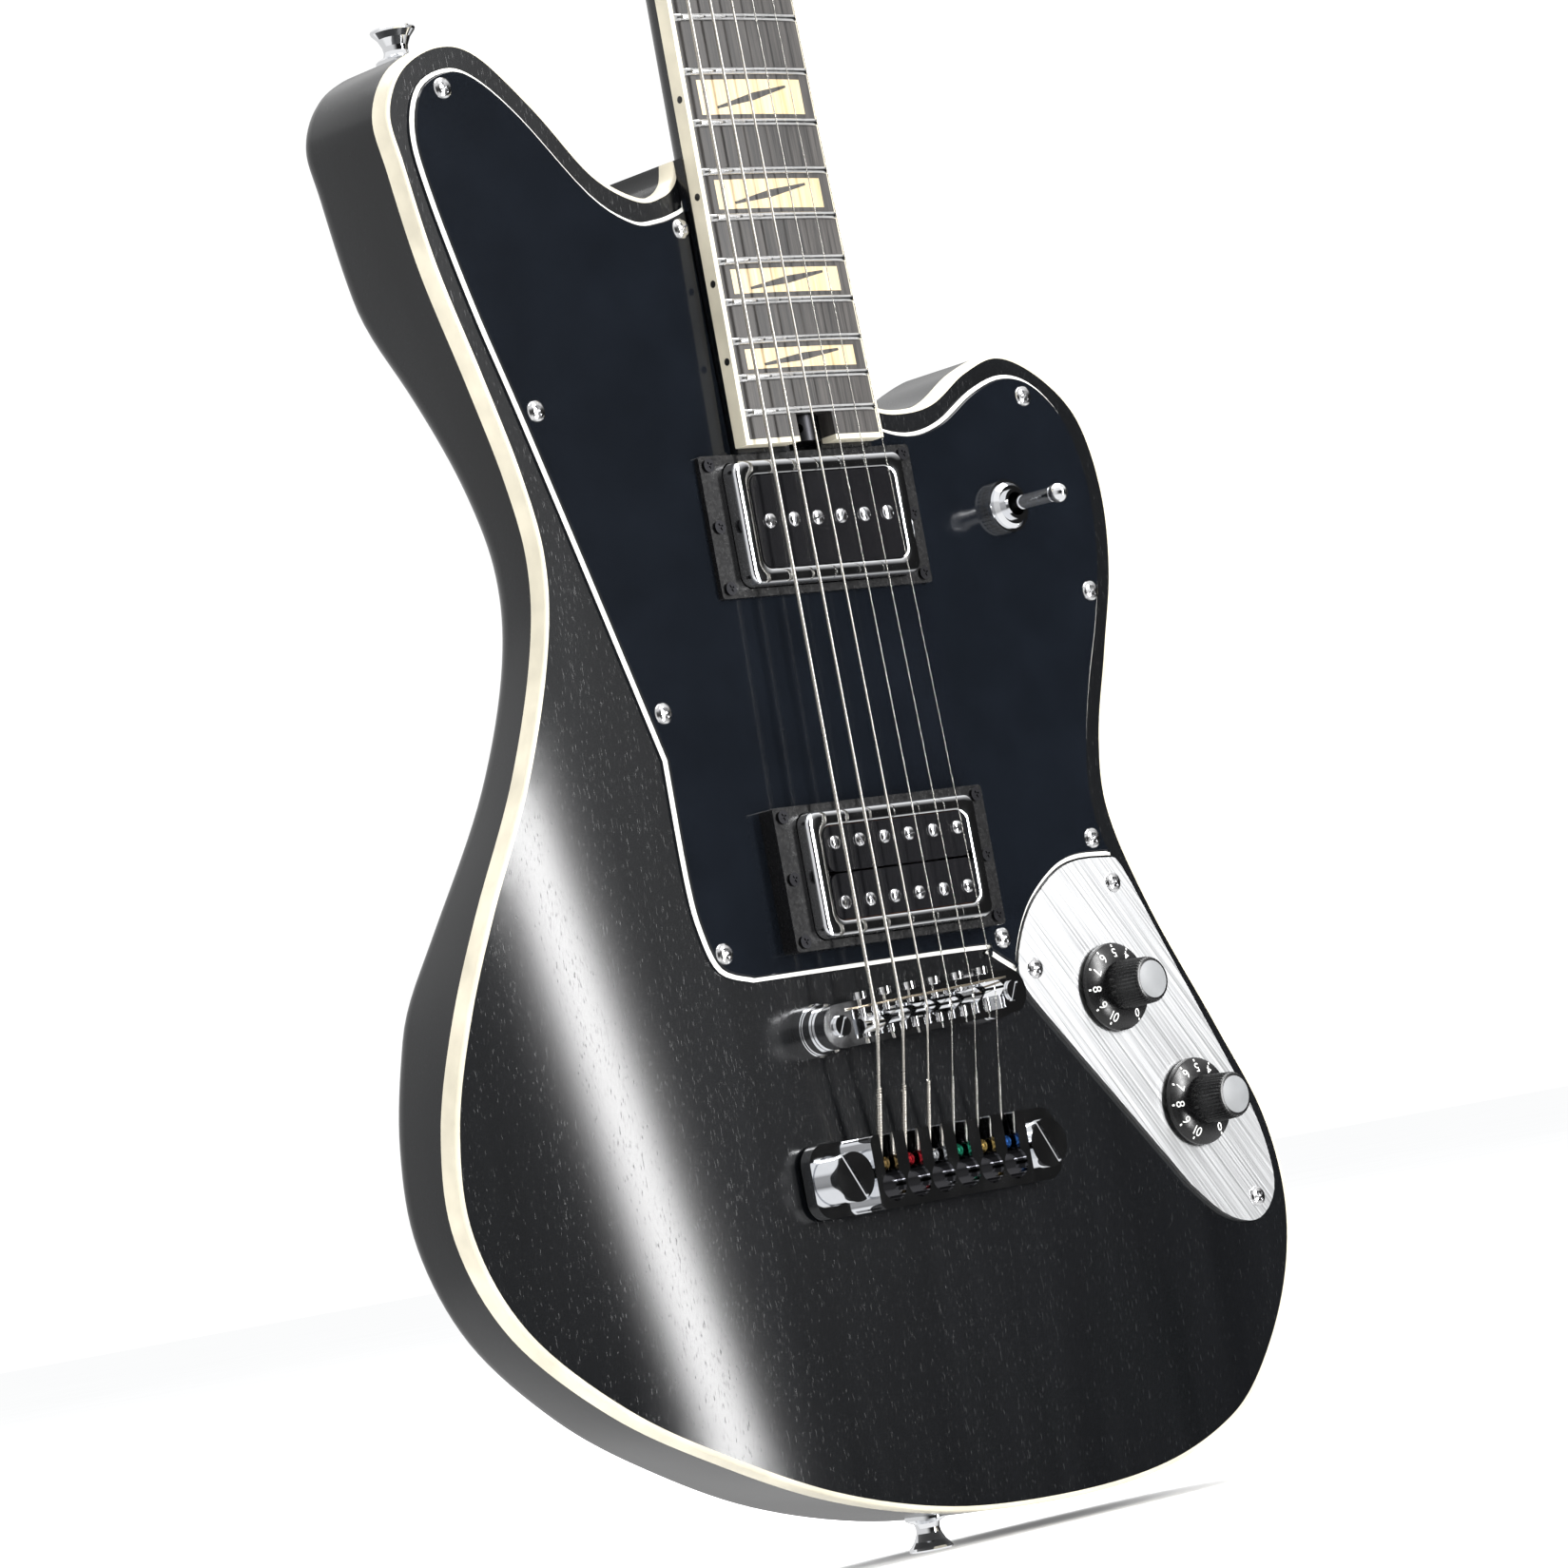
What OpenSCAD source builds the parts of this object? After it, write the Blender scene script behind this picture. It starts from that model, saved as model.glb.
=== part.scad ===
// Solid-body electric guitar with two pickups, a post bridge and a quick-change tailpiece.
// The guitar stands upright: +Z runs up the neck and the front faces -Y.
// The origin is the middle of the lower strap button's end face.
// Inside the modules, x is measured from the centre line, z from the nominal saddle line,
// and h is the height in front of the flat body top; place() moves that frame to the origin.

/* [Scale and neck] */
// String length from the nut to the nominal saddle line
scale_len = 647.7; // [620:0.1:660]
// Number of frets
fret_count = 22; // [20:1:22]
// Width of the fretboard at the last fret
board_w_last = 57.8; // [56:0.1:59]
// Width of the fretboard at the nut
board_w_nut = 43; // [41:0.1:45]
// Radius of the curved playing surface
board_radius = 305; // [240:5:400]
// Thickness of the fretboard at its centre
board_t = 6.5; // [5.5:0.1:7]
// Height of the frets
fret_h = 1.2; // [0.8:0.1:1.5]
// Angle by which the neck falls back from the body top
neck_angle = 0.73; // [0:0.01:1.5]
// Height of the last fret in front of the body top
last_fret_h = 12.55; // [12:0.05:13.5]
// Angle by which the head leans back from the neck
head_angle = 12; // [8:1:14]
// Thickness of the head
head_t = 15; // [13:0.5:16]

/* [Body] */
// Thickness of the body
body_t = 44; // [42:0.5:46]
// Radius of the rounded back edge
back_round = 8; // [4:0.5:9]
// Slope of the forearm bevel
forearm_angle = 14; // [8:0.5:16]
// Width over which the bevel rolls in
forearm_roll = 56; // [40:1:70]
// Deepest point of the scoop on the back
belly_depth = 22; // [10:1:24]
// Visible height of the edge binding
binding_h = 6.5; // [4:0.1:8]
// Thickness of the edge binding
binding_t = 1.6; // [1.2:0.1:2]

/* [Plates] */
// Thickness of one pickguard ply
ply_t = 0.8; // [0.6:0.1:0.9]
// Width of the pickguard's bevelled edge
bevel_w = 1.7; // [1:0.1:2]
// Thickness of the control plate
plate_t = 1.5; // [1:0.1:2]

/* [Pickups] */
// Centre of the neck pickup above the saddle line
neck_pickup_z = 148.3; // [146:0.1:150]
// Centre of the bridge pickup above the saddle line
bridge_pickup_z = 39.3; // [38:0.1:41]
// Height of the neck pickup's top
neck_pickup_h = 9.8; // [8:0.1:11]
// Height of the bridge pickup's top
bridge_pickup_h = 13.4; // [12:0.1:14]
// Spacing of the neck pickup's pole screws
neck_pole_pitch = 9.96; // [9.5:0.01:10.5]
// Spacing of the bridge pickup's pole screws
bridge_pole_pitch = 10.44; // [10:0.01:10.8]

/* [Bridge and tailpiece] */
// Distance between the bridge posts
bridge_posts_w = 74; // [72:0.1:76]
// Height of the bridge's top
bridge_top_h = 15; // [14:0.1:15.5]
// Middle of the bridge below the saddle line
bridge_drop = 5.1; // [4:0.1:6]
// Slant of the bridge, bass side lower
bridge_slant = 2.2; // [0:0.1:3]
// Spacing of the strings at the bridge
bridge_pitch = 10.44; // [10:0.01:10.6]
// Spacing of the strings at the nut
nut_pitch = 7.1; // [6.8:0.1:7.3]
// Distance between the tailpiece studs
tail_studs_w = 83; // [82:0.1:84]
// Middle of the tailpiece below the saddle line
tail_drop = 51.6; // [50:0.1:53]

/* [Controls] */
// Diameter of the numbered skirt on a knob
skirt_d = 28; // [24:0.5:30]
// Height of a knob's top
knob_top_h = 20; // [18:0.5:22]
// Lean of the selector lever to either side
toggle_throw = 10; // [8:1:12]

/* [Hidden] */
$fn = 64;

// Where the centre line, the body top and the saddle line lie from the origin
centre_x = 5.9;
button_h = -22;
saddle_z = 167.4;

// Body outline, as x and z: from the bass side of the neck joint, over the upper horn,
// down the bass side, along the bottom and up the treble side to the neck joint
body_points = [[-28.6, 263], [-30.5, 257], [-36, 253.2], [-46, 252], [-62, 260], [-80, 280],
    [-99, 297], [-114, 300], [-130, 293], [-138.5, 279], [-136.5, 262], [-131, 232], [-121, 198],
    [-113, 168], [-110, 143], [-115, 117], [-130, 80], [-149, 43], [-162, 11], [-170, -20],
    [-170, -50], [-157, -80], [-130, -107], [-100, -126], [-61, -144], [-15, -156], [33, -160],
    [75, -158.5], [106, -151], [127, -138.5], [147, -113], [156.5, -85], [154, -55], [140, -24],
    [120, 16], [109, 48], [111, 72], [121, 100], [130, 126], [133, 152], [128, 176], [114, 191],
    [96, 198.5], [79, 194], [62, 184.5], [46, 182.2], [35, 184.5], [30, 189], [28.6, 195]];
outline_steps = 3;

// Pickguard outline: bass edge with its top, then the lower edge, then the treble edge
guard_bass = [[-27.5, 249.5], [-32, 247.2], [-41, 244.8], [-51, 244.8], [-66, 253.5],
    [-88, 277.5], [-103, 289.5], [-114, 292], [-126, 286.5], [-131.5, 273], [-129.5, 254.7],
    [-120.6, 220.1], [-109.5, 185.3], [-93.5, 132.8], [-77.7, 79.8]];
guard_corner = [[-77.7, 79.8], [-77.8, 45], [-76, 28], [-70.5, 15], [-57.5, 10.6]];
guard_lower = [[-57.5, 10.6], [33.3, 10.7], [40.7, 9.5], [46.5, 6], [52.8, 2.2]];
guard_plate_side = [[52.8, 2.2], [54.6, 8.6], [59.7, 17.7], [66.8, 25.3], [78, 32.4], [89, 34.9],
    [104, 34.5]];
guard_treble = [[104, 34.5], [100.7, 46], [100.2, 58], [103, 72], [109, 90], [117, 109],
    [122.5, 126], [125.2, 145], [124, 162], [118, 178], [107, 188.5], [94, 191.5], [79, 187],
    [63, 178], [50, 174.8], [38, 176.5], [30.5, 181.5]];

// Control plate outline: the side towards the pickguard, then the long sides and round end
plate_top_side = [[53.3, 2], [55, 8.5], [60, 17.5], [67, 25], [78, 32], [89, 34.5], [103, 34]];
plate_long_side = [[103, 34], [107.5, 30.5], [120.2, 3.8], [133.4, -23.6], [146, -51],
    [150.2, -68], [149.5, -79], [143, -86], [135, -87.3], [124, -83], [112, -72.5]];
plate_bass_side = [[112, -72.5], [94.4, -51.2], [73, -25.6], [60, -9.8], [55.3, -3.5],
    [53.3, 2]];

// Screws in the pickguard and in the control plate
guard_screws = [[-117.2, 285.4], [-32.5, 241.2], [-103.6, 187.2], [-75.2, 93.9],
    [-68.4, 20.4], [48, 13.4], [95.5, 40.7], [115.5, 119.5], [101.5, 183.8]];
control_screws = [[102, 26], [60.5, 2.6], [141, -80.2]];

// Controls
volume_at = [92.7, -7];
tone_at = [120.3, -47];
toggle_at = [82.6, 148.3];
toggle_pivot_h = 3.7;
toggle_len = 20.7;

// Crease of the forearm bevel
crease_top = [-117, 110];
crease_low = [-58, -146];

// Derived places along the neck
function fret_z(n) = scale_len / pow(2, n / 12);
last_z = fret_z(fret_count);
nut_z = scale_len - last_z;
board_end = -9.8;
side_taper = (board_w_last - board_w_nut) / 2 / nut_z;
function board_half(z) = board_w_last / 2 - z * side_taper;
function crown_y(x) = x * x / 2 / board_radius;
heel_end = last_z - 11.4;

// Strings, bass to treble: string radius, place across the bridge and the nut
string_r = [0.584, 0.457, 0.33, 0.216, 0.165, 0.127];
function bridge_x(i) = (i - 2.5) * bridge_pitch;
function nut_x(i) = (i - 2.5) * nut_pitch;
function string_h(i) = 18.2 - bridge_x(i) * bridge_x(i) / 2 / board_radius;
// Where each saddle's crest sits from the bridge's middle, for correct intonation
crest_z = [-1.2, -0.2, 0.6, 0.2, 0.9, 1.8];

// Bridge sizes
bridge_floor_h = 9.6;
bridge_base_h = 7.4;
bridge_depth = 13.4;
slot_depth = 9.4;
slot_half = 32.4;
saddle_w = 8;
saddle_l = 4.6;
screw_r = 1.1;
running = 0.05;

// Tuners: place of each post on the head, and the side its button points to
post_x = [-26, -24.5, -23, 23, 24.5, 26];
post_z = [46, 84, 122, 122, 84, 46];
post_side = [-1, -1, -1, 1, 1, 1];
post_r = 3;
wheel_r = 6;
wheel_teeth = 16;
shaft_r = 2;
shaft_drop = 8.6;
housing_t = 11;
shaft_y = head_t + 5.4;
wind_y = -8;

// Pickup sizes
cover_w = 71.5;
cover_l = 38.5;
cover_r = 4;
wall = 0.8;
window_w = 61;
window_l = 29;

// ---- Curves ----
// Catmull-Rom curve through the points p, with n steps between neighbours
function knot(p, i) = p[max(0, min(len(p) - 1, i))];
function blend(a, b, c, d, t) = 0.5 * (2 * b + (c - a) * t + (2 * a - 5 * b + 4 * c - d) * t * t
    + (3 * b - a - 3 * c + d) * t * t * t);
function curve(p, n) = concat([for (i = [0 : len(p) - 2], k = [0 : n - 1])
    blend(knot(p, i - 1), p[i], p[i + 1], knot(p, i + 2), k / n)], [p[len(p) - 1]]);
// The path p moved sideways by d, to its left; w(i) scales the move at each point
function left_of(p, i, closed) = let (n = len(p),
    a = closed ? p[(i + n - 1) % n] : p[max(0, i - 1)],
    b = closed ? p[(i + 1) % n] : p[min(n - 1, i + 1)],
    v = b - a) [-v[1], v[0]] / norm(v);
function shifted(p, d, closed = true) = [for (i = [0 : len(p) - 1])
    p[i] + d * left_of(p, i, closed)];
function reversed(p) = [for (i = [len(p) - 1 : -1 : 0]) p[i]];

outline = curve(body_points, outline_steps);
// The rounded back edge fades out beside the neck joint
function round_share(q) = q[1] < 150 ? 1 : max(0, min(1, (abs(q[0]) - 34) / 22));
function back_ring(d) = [for (i = [0 : len(outline) - 1])
    outline[i] + d * round_share(outline[i]) * left_of(outline, i, true)];
// A closed path without the points that lie on their neighbour
function distinct(p) = [for (i = [0 : len(p) - 1]) if (norm(p[i] - p[(i + 1) % len(p)]) > 0.2)
    p[i]];
function guard_outline() = distinct(concat(curve(guard_bass, 5), curve(guard_corner, 4),
    curve(guard_lower, 2), curve(guard_plate_side, 2), curve(guard_treble, 3)));
function plate_outline() = distinct(concat(curve(plate_top_side, 3),
    curve(plate_long_side, 3), curve(plate_bass_side, 2)));

// ---- Frames and shared shapes ----
module place() {
    translate([centre_x, button_h, saddle_z]) children();
}
// The children's XY plane becomes the front, at height h, and they grow forwards
module front(h = 0) {
    translate([0, -h, 0]) rotate([90, 0, 0]) children();
}
module rod(at, h0, h1, r, sides = $fn) {
    translate([at[0], -h0, at[1]]) rotate([90, 0, 0]) cylinder(h = h1 - h0, r = r, $fn = sides);
}
module box(x0, x1, h0, h1, z0, z1) {
    translate([x0, -h1, z0]) cube([x1 - x0, h1 - h0, z1 - z0]);
}
// A round bar between two points, longer by over at both ends
module bar(a, b, r, over = 0) {
    v = b - a;
    translate(a - v * over / norm(v)) rotate([0, acos(v[2] / norm(v)), atan2(v[1], v[0])])
        cylinder(h = norm(v) + 2 * over, r = r);
}
module round_rect(w, l, r) {
    square([w - 2 * r, l], center = true);
    square([w, l - 2 * r], center = true);
    for (x = [-1, 1], y = [-1, 1]) translate([x * (w / 2 - r), y * (l / 2 - r)]) circle(r);
}
// Neck frame: y = 0 at the crown of the frets, z = 0 at the last fret
module neck_frame() {
    translate([0, -last_fret_h, last_z]) rotate([-neck_angle, 0, 0]) children();
}
// Head frame: y = 0 at the face of the head, z = 0 at the back of the nut
module head_frame() {
    neck_frame() translate([0, head_face_y, nut_z + nut_l]) rotate([-head_angle, 0, 0]) children();
}
nut_l = 5;
// Height of the nut's top, and of the strings' centres on it, above the crown of the frets
nut_rise = 0.9;
head_face_y = fret_h + board_t + 0.3;
function lean(p, a) = [p[0], p[1] * cos(a) + p[2] * sin(a), p[2] * cos(a) - p[1] * sin(a)];
function neck_point(p) = lean(p, neck_angle) + [0, -last_fret_h, last_z];
function head_point(p) = neck_point(lean(p, head_angle) + [0, head_face_y, nut_z + nut_l]);

// Oval-head screw that points backwards, with its head's seat at height h
module oval_screw(at, h, head_r, r, l) {
    translate([at[0], -h, at[1]]) rotate([90, 0, 0]) difference() {
        rotate_extrude() polygon(concat([[0, -l], [r * 0.3, -l], [r, -l + 2 * r], [r, 0],
            [head_r, 0]], [for (a = [20 : 20 : 80]) [head_r * cos(a), head_r * 0.38 * sin(a)]],
            [[0, head_r * 0.38]]));
        for (a = [0, 90]) rotate([0, 0, a + 30]) translate([-head_r * 0.55, -0.4, 0.3])
            cube([head_r * 1.1, 0.8, head_r]);
    }
}

// ---- Forearm bevel ----
roll_r = forearm_roll / sin(forearm_angle);
bevel_reach = 120;
function bevel_arc() = [for (k = [0 : 8]) let (a = forearm_angle * k / 8)
    [roll_r * sin(a), -roll_r * (1 - cos(a))]];
function bevel_end() = [forearm_roll + bevel_reach,
    -roll_r * (1 - cos(forearm_angle)) - bevel_reach * tan(forearm_angle)];
module along_crease() {
    v = crease_low - crease_top;
    translate([crease_top[0], 0, crease_top[1]]) rotate([0, atan2(v[0], v[1]), 0])
        rotate([180, 0, 0]) linear_extrude(900, center = true) children();
}
module bevel_cut() {
    along_crease() polygon(concat(bevel_arc(), [bevel_end(), [bevel_end()[0], 30], [0, 30]]));
}
// Everything within t below the front surface, and as far as over in front of it
module skin(t, over = 0) {
    up = [0, over];
    along_crease() polygon(concat([[-500, over]], [for (q = bevel_arc()) q + up],
        [bevel_end() + up, bevel_end() - [0, t]], [for (q = reversed(bevel_arc())) q - [0, t]],
        [[-500, -t]]));
}

// ---- Wood ----
// The back edge is rounded in steps: nested slabs, each a little smaller and deeper
round_steps = 4;
module body_blank() {
    front(-(body_t - back_round)) linear_extrude(body_t - back_round) polygon(outline);
    for (k = [1 : round_steps]) let (a = 90 * k / round_steps, d = 90 * (k - 0.5) / round_steps)
        front(-(body_t - back_round * (1 - sin(a)))) linear_extrude(20)
            polygon(back_ring(back_round * (1 - cos(d))));
}
// The strip of binding; as a cutter it reaches further, by over, out past the wood
module binding_ring(over = 0) {
    inner = shifted(outline, binding_t, false);
    outer = shifted(outline, -over, false);
    intersection() {
        front(-30) linear_extrude(30 + over) polygon(concat(outer, reversed(inner)));
        skin(binding_h, over);
    }
}
module neck_heel() {
    // Seat of the neck, as seen from the front
    polygon([[-28.3, heel_end], [28.3, heel_end], [28.3, 195], [-28.3, 263]]);
}
heel_floor = -15;
module pickup_cavity(z) {
    front(-24) linear_extrude(30) translate([0, z]) round_rect(cover_w + 8, cover_l + 1.5, 5);
    for (s = [-1, 1]) rod([s * ring_screw_x, z], -24, 5, 3);
}
// Room for both pots and for the back of the jack
module control_cavity() {
    v = tone_at - volume_at;
    side = 0.95 * cavity_r * [-v[1], v[0]] / norm(v);
    front(-34) linear_extrude(40) {
        polygon([volume_at + side, tone_at + side, tone_at - side, volume_at - side]);
        translate(volume_at) circle(cavity_r);
        translate(tone_at) circle(cavity_r);
    }
    rod([132, -66], -34, 5, 13);
}
cavity_r = 16;
module neck_pocket() {
    front(heel_floor - 0.1) linear_extrude(40) polygon([[-28.45, heel_end - 0.15],
        [28.45, heel_end - 0.15], [28.45, 230], [-28.45, 300]]);
}
module body() {
    color("#17181a") place() difference() {
        body_blank();
        bevel_cut();
        binding_ring(4);
        // Scoop for the player's ribs
        translate([-150, body_t - belly_depth + 252, 122]) sphere(r = 252);
        neck_pocket();
        pickup_cavity(neck_pickup_z);
        pickup_cavity(bridge_pickup_z);
        control_cavity();
        rod(toggle_at, -34, 5, 17);
        // Wire channels between the cavities
        bar([60, 12, 130], [10, 12, 148], 4);
        bar([20, 12, 45], [90, 12, -4], 4);
        bar([82, 14, 140], [92, 14, -4], 4);
        for (s = [-1, 1]) {
            rod([s * bridge_posts_w / 2, bridge_post_z(s)], -22, 5, 5.6);
            rod([s * tail_studs_w / 2, -tail_drop], -26, 5, 6.1);
        }
        // Output jack: seat and tunnel
        translate([153.5, -button_h, jack_z]) rotate([0, 90, 0]) cylinder(h = 10, r = 14.1);
        translate([120, -button_h, jack_z]) rotate([0, 90, 0]) cylinder(h = 40, r = 10);
        // Seats and holes for the strap buttons
        translate([-centre_x, -button_h, low_seat_z - 5]) cylinder(h = 5, r = 6.8);
        translate([-centre_x, -button_h, low_seat_z - 1]) cylinder(h = 27, r = 1.9);
        translate([horn_x, -button_h, high_seat_z]) cylinder(h = 5, r = 6.8);
        translate([horn_x, -button_h, high_seat_z - 26]) cylinder(h = 27, r = 1.9);
        // Neck plate seat and its four holes
        front(-body_t - 1) linear_extrude(1 + plate_depth) neck_plate_shape(0.1);
        for (p = neck_screw_at) rod(p, -body_t - 1, 0, 2.4, 24);
        for (p = guard_screws) rod(p, -12.5, 5, 1.45, 12);
        for (p = control_screws) rod(p, -13.5, 5, 1.45, 12);
        for (z = [neck_pickup_z, bridge_pickup_z], x = [-1, 1], y = [-1, 1])
            rod([x * ring_screw_x, z + y * ring_screw_z], -14, 5, 1.2, 12);
    }
}
jack_z = -76;
low_seat_z = -156.4;
high_seat_z = 299;
horn_x = -111.5;
plate_depth = 2.2;
neck_screw_at = [[-18, 180], [18, 180], [-18, 234], [12, 199]];
ring_screw_x = 41.15;
ring_screw_z = 19;
function bridge_post_z(s) = -bridge_drop + s * bridge_posts_w / 2 * sin(bridge_slant);

module body_binding() {
    color("#efe6c6") place() difference() {
        binding_ring();
        neck_pocket();
    }
}

// Half-round section of the neck behind the fretboard, from one edge to the other
neck_points = 16;
function neck_section(z, depth, w) = [for (k = [0 : neck_points]) let (a = 180 * k / neck_points)
    [w * cos(a) * (1 - 0.06 * sin(a)), fret_h + board_t + depth * pow(sin(a), 0.8), z]];
module neck_shaft() {
    zs = [for (k = [0 : 12]) board_end + 12 + (nut_z + nut_l - board_end - 12) * k / 12];
    sections = [for (z = zs) neck_section(z, 15.5 - 2.5 * max(0, z) / nut_z,
        board_half(min(z, nut_z)) - 0.1)];
    m = neck_points + 1;
    last = (len(zs) - 1) * m;
    sides = [for (k = [0 : len(zs) - 2], i = [0 : m - 1], half = [0, 1])
        let (j = (i + 1) % m, a = k * m + i, b = k * m + j, c = a + m, d = b + m)
        half == 0 ? [a, c, b] : [b, c, d]];
    polyhedron([for (s = sections) each s], concat([[for (i = [0 : m - 1]) i],
        [for (i = [m - 1 : -1 : 0]) last + i]], sides));
}
// Head outline, as half widths up the head
head_points = [[21.4, -4], [22, 4], [27, 16], [36, 32], [39.5, 46], [38.5, 90], [36, 130],
    [36.5, 148], [32, 158], [18, 163], [0, 160]];
function head_outline() = let (c = curve(head_points, 4))
    concat(c, [for (q = reversed(c)) if (q[0] > 0.1) [-q[0], q[1]]]);
module head_shape() {
    rotate([-90, 0, 0]) mirror([0, 1, 0]) linear_extrude(head_t) polygon(head_outline());
}
module neck() {
    color("#1a1a1b") place() difference() {
        union() {
            neck_frame() neck_shaft();
            intersection() {
                front(heel_floor) linear_extrude(30) neck_heel();
                neck_frame() translate([-40, fret_h + board_t, -20]) cube([80, 40, 120]);
            }
            head_frame() head_shape();
            // Cheek that carries the neck's back into the head
            neck_frame() translate([0, fret_h + board_t + 13, nut_z + nut_l])
                rotate([0, 90, 0]) cylinder(h = 30, r = 8, center = true);
        }
        // Channel for the truss rod and a pocket for its wheel
        neck_frame() translate([0, truss_y, board_end - 5]) cylinder(h = nut_z - 10, r = 2.4);
        neck_frame() translate([0, truss_y, board_end - 8]) cylinder(h = 8 + wheel_pocket, r = 7.2);
        for (p = neck_screw_at) rod(p, -body_t, heel_floor + 14, 1.7);
        head_frame() for (i = [0 : 5]) translate([post_x[i], -5, post_z[i]]) rotate([-90, 0, 0])
            cylinder(h = head_t + 10, r = 5);
        neck_frame() translate([-30, head_face_y - 10, nut_z]) cube([60, 10, nut_l]);
    }
}
truss_y = fret_h + board_t + 2.4;
wheel_pocket = 10;

module board_blank(z0, z1, trim, r) {
    intersection() {
        rotate([-90, 0, 0]) mirror([0, 1, 0]) linear_extrude(fret_h + board_t)
            polygon([[-board_half(z0) + trim, z0], [board_half(z0) - trim, z0],
                [board_half(z1) - trim, z1], [-board_half(z1) + trim, z1]]);
        translate([0, fret_h + board_radius, z0 - 5]) cylinder(h = z1 - z0 + 10, r = r, $fn = 720);
    }
}
strip = 1.6;
inlay_frets = [for (n = [3, 5, 7, 9, 12, 15, 17, 19, 21]) if (n <= fret_count) n];
function inlay_low(n) = fret_z(n) - last_z + 2.6;
function inlay_high(n) = fret_z(n - 1) - last_z - 2.6;
// One inlay block, with its slanted needle left open for the dark wood
module inlay_shape(n) {
    z0 = inlay_low(n);
    z1 = inlay_high(n);
    half = board_half(z0) - strip - 4.2;
    tip = [half * 0.7, (z1 - z0) * 0.3];
    middle = [0, (z0 + z1) / 2];
    side = [-tip[1], tip[0]] / norm(tip);
    difference() {
        translate([-half, z0]) square([2 * half, z1 - z0]);
        polygon([middle - tip - 0.4 * side, middle - 1.2 * side, middle + tip - 0.4 * side,
            middle + tip + 0.4 * side, middle + 1.2 * side, middle - tip + 0.4 * side]);
    }
}
inlay_depth = 2.2;
module inlay_solid(n) {
    intersection() {
        rotate([-90, 0, 0]) mirror([0, 1, 0]) linear_extrude(fret_h + inlay_depth)
            inlay_shape(n);
        translate([0, fret_h + board_radius, inlay_low(n) - 5])
            cylinder(h = 60, r = board_radius, $fn = 720);
    }
}
module fretboard() {
    color("#2b2623") place() neck_frame() difference() {
        board_blank(board_end + strip, nut_z, strip, board_radius);
        translate([-wheel_notch, -5, board_end - 1]) cube([2 * wheel_notch, 20, 9.9]);
        for (n = inlay_frets) inlay_solid(n);
        for (n = [1 : fret_count]) translate([-40, -1, fret_z(n) - last_z - 0.3])
            cube([80, fret_h + 4, 0.6]);
    }
}
wheel_notch = 7.6;
module fretboard_binding() {
    color("#efe6c6") place() neck_frame() difference() {
        board_blank(board_end, nut_z, 0, board_radius);
        translate([0, -1, 0]) rotate([-90, 0, 0]) mirror([0, 1, 0]) linear_extrude(20)
            polygon([[-board_half(board_end) + strip, board_end + strip],
                [board_half(board_end) - strip, board_end + strip],
                [board_half(nut_z + 5) - strip, nut_z + 5],
                [-board_half(nut_z + 5) + strip, nut_z + 5]]);
        translate([-wheel_notch, -5, board_end - 1]) cube([2 * wheel_notch, 20, 9.9]);
    }
}
fret_w = 2.4;
module fret(z) {
    half = board_half(z) - strip;
    difference() {
        intersection() {
            translate([-half, -1, z - fret_w / 2]) cube([2 * half, fret_h + 4, fret_w]);
            translate([0, fret_h + board_radius, z - 5])
                cylinder(h = 10, r = board_radius + fret_h, $fn = 720);
        }
        difference() {
            translate([0, fret_h + board_radius, z - 6])
                cylinder(h = 12, r = board_radius, $fn = 720);
            translate([-half + 1, -1, z - 0.3]) cube([2 * half - 2, fret_h + 4, 0.6]);
        }
    }
}
module frets() {
    color("#c9c9c6") place() neck_frame() for (n = [1 : fret_count]) fret(fret_z(n) - last_z);
}
module inlays() {
    color("#e9d6ae") place() neck_frame() for (n = inlay_frets) inlay_solid(n);
}
module nut() {
    color("#ece6d2") place() difference() {
        neck_frame() intersection() {
            translate([-board_w_nut / 2, -1.2, nut_z]) cube([board_w_nut, 20, nut_l - 0.1]);
            translate([0, fret_h + board_radius, nut_z - 5])
                cylinder(h = 20, r = board_radius + fret_h + nut_rise, $fn = 720);
            translate([-40, -10, nut_z - 5]) cube([80, 10 + head_face_y, 20]);
        }
        // Slots, open at the top, and deeper behind where the strings fall back to the head
        neck_frame() for (i = [0 : 5]) let (x = nut_x(i), r = string_r[i],
                floor_y = crown_y(x) - nut_rise + r + 0.03) {
            translate([x - r - 0.1, floor_y - 10, nut_z - 1])
                cube([2 * r + 0.2, 10, 3.6]);
            translate([x - r - 0.5, floor_y - 9.1, nut_z + 2.2])
                cube([2 * r + 1, 10, 6]);
        }
    }
}
module truss_rod() {
    color("#8f9296") place() neck_frame() translate([0, truss_y, board_end + 8.6])
        cylinder(h = nut_z - 40, r = 2.3);
}
module truss_wheel() {
    color("#141414") place() neck_frame() translate([0, truss_y, board_end + 0.6]) difference() {
        cylinder(h = 8, r = 6.6);
        for (a = [0 : 60 : 120]) rotate([0, 0, a + 22]) translate([0, 0, 4]) rotate([90, 0, 0])
            cylinder(h = 20, r = 1.5, center = true);
    }
}

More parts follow.
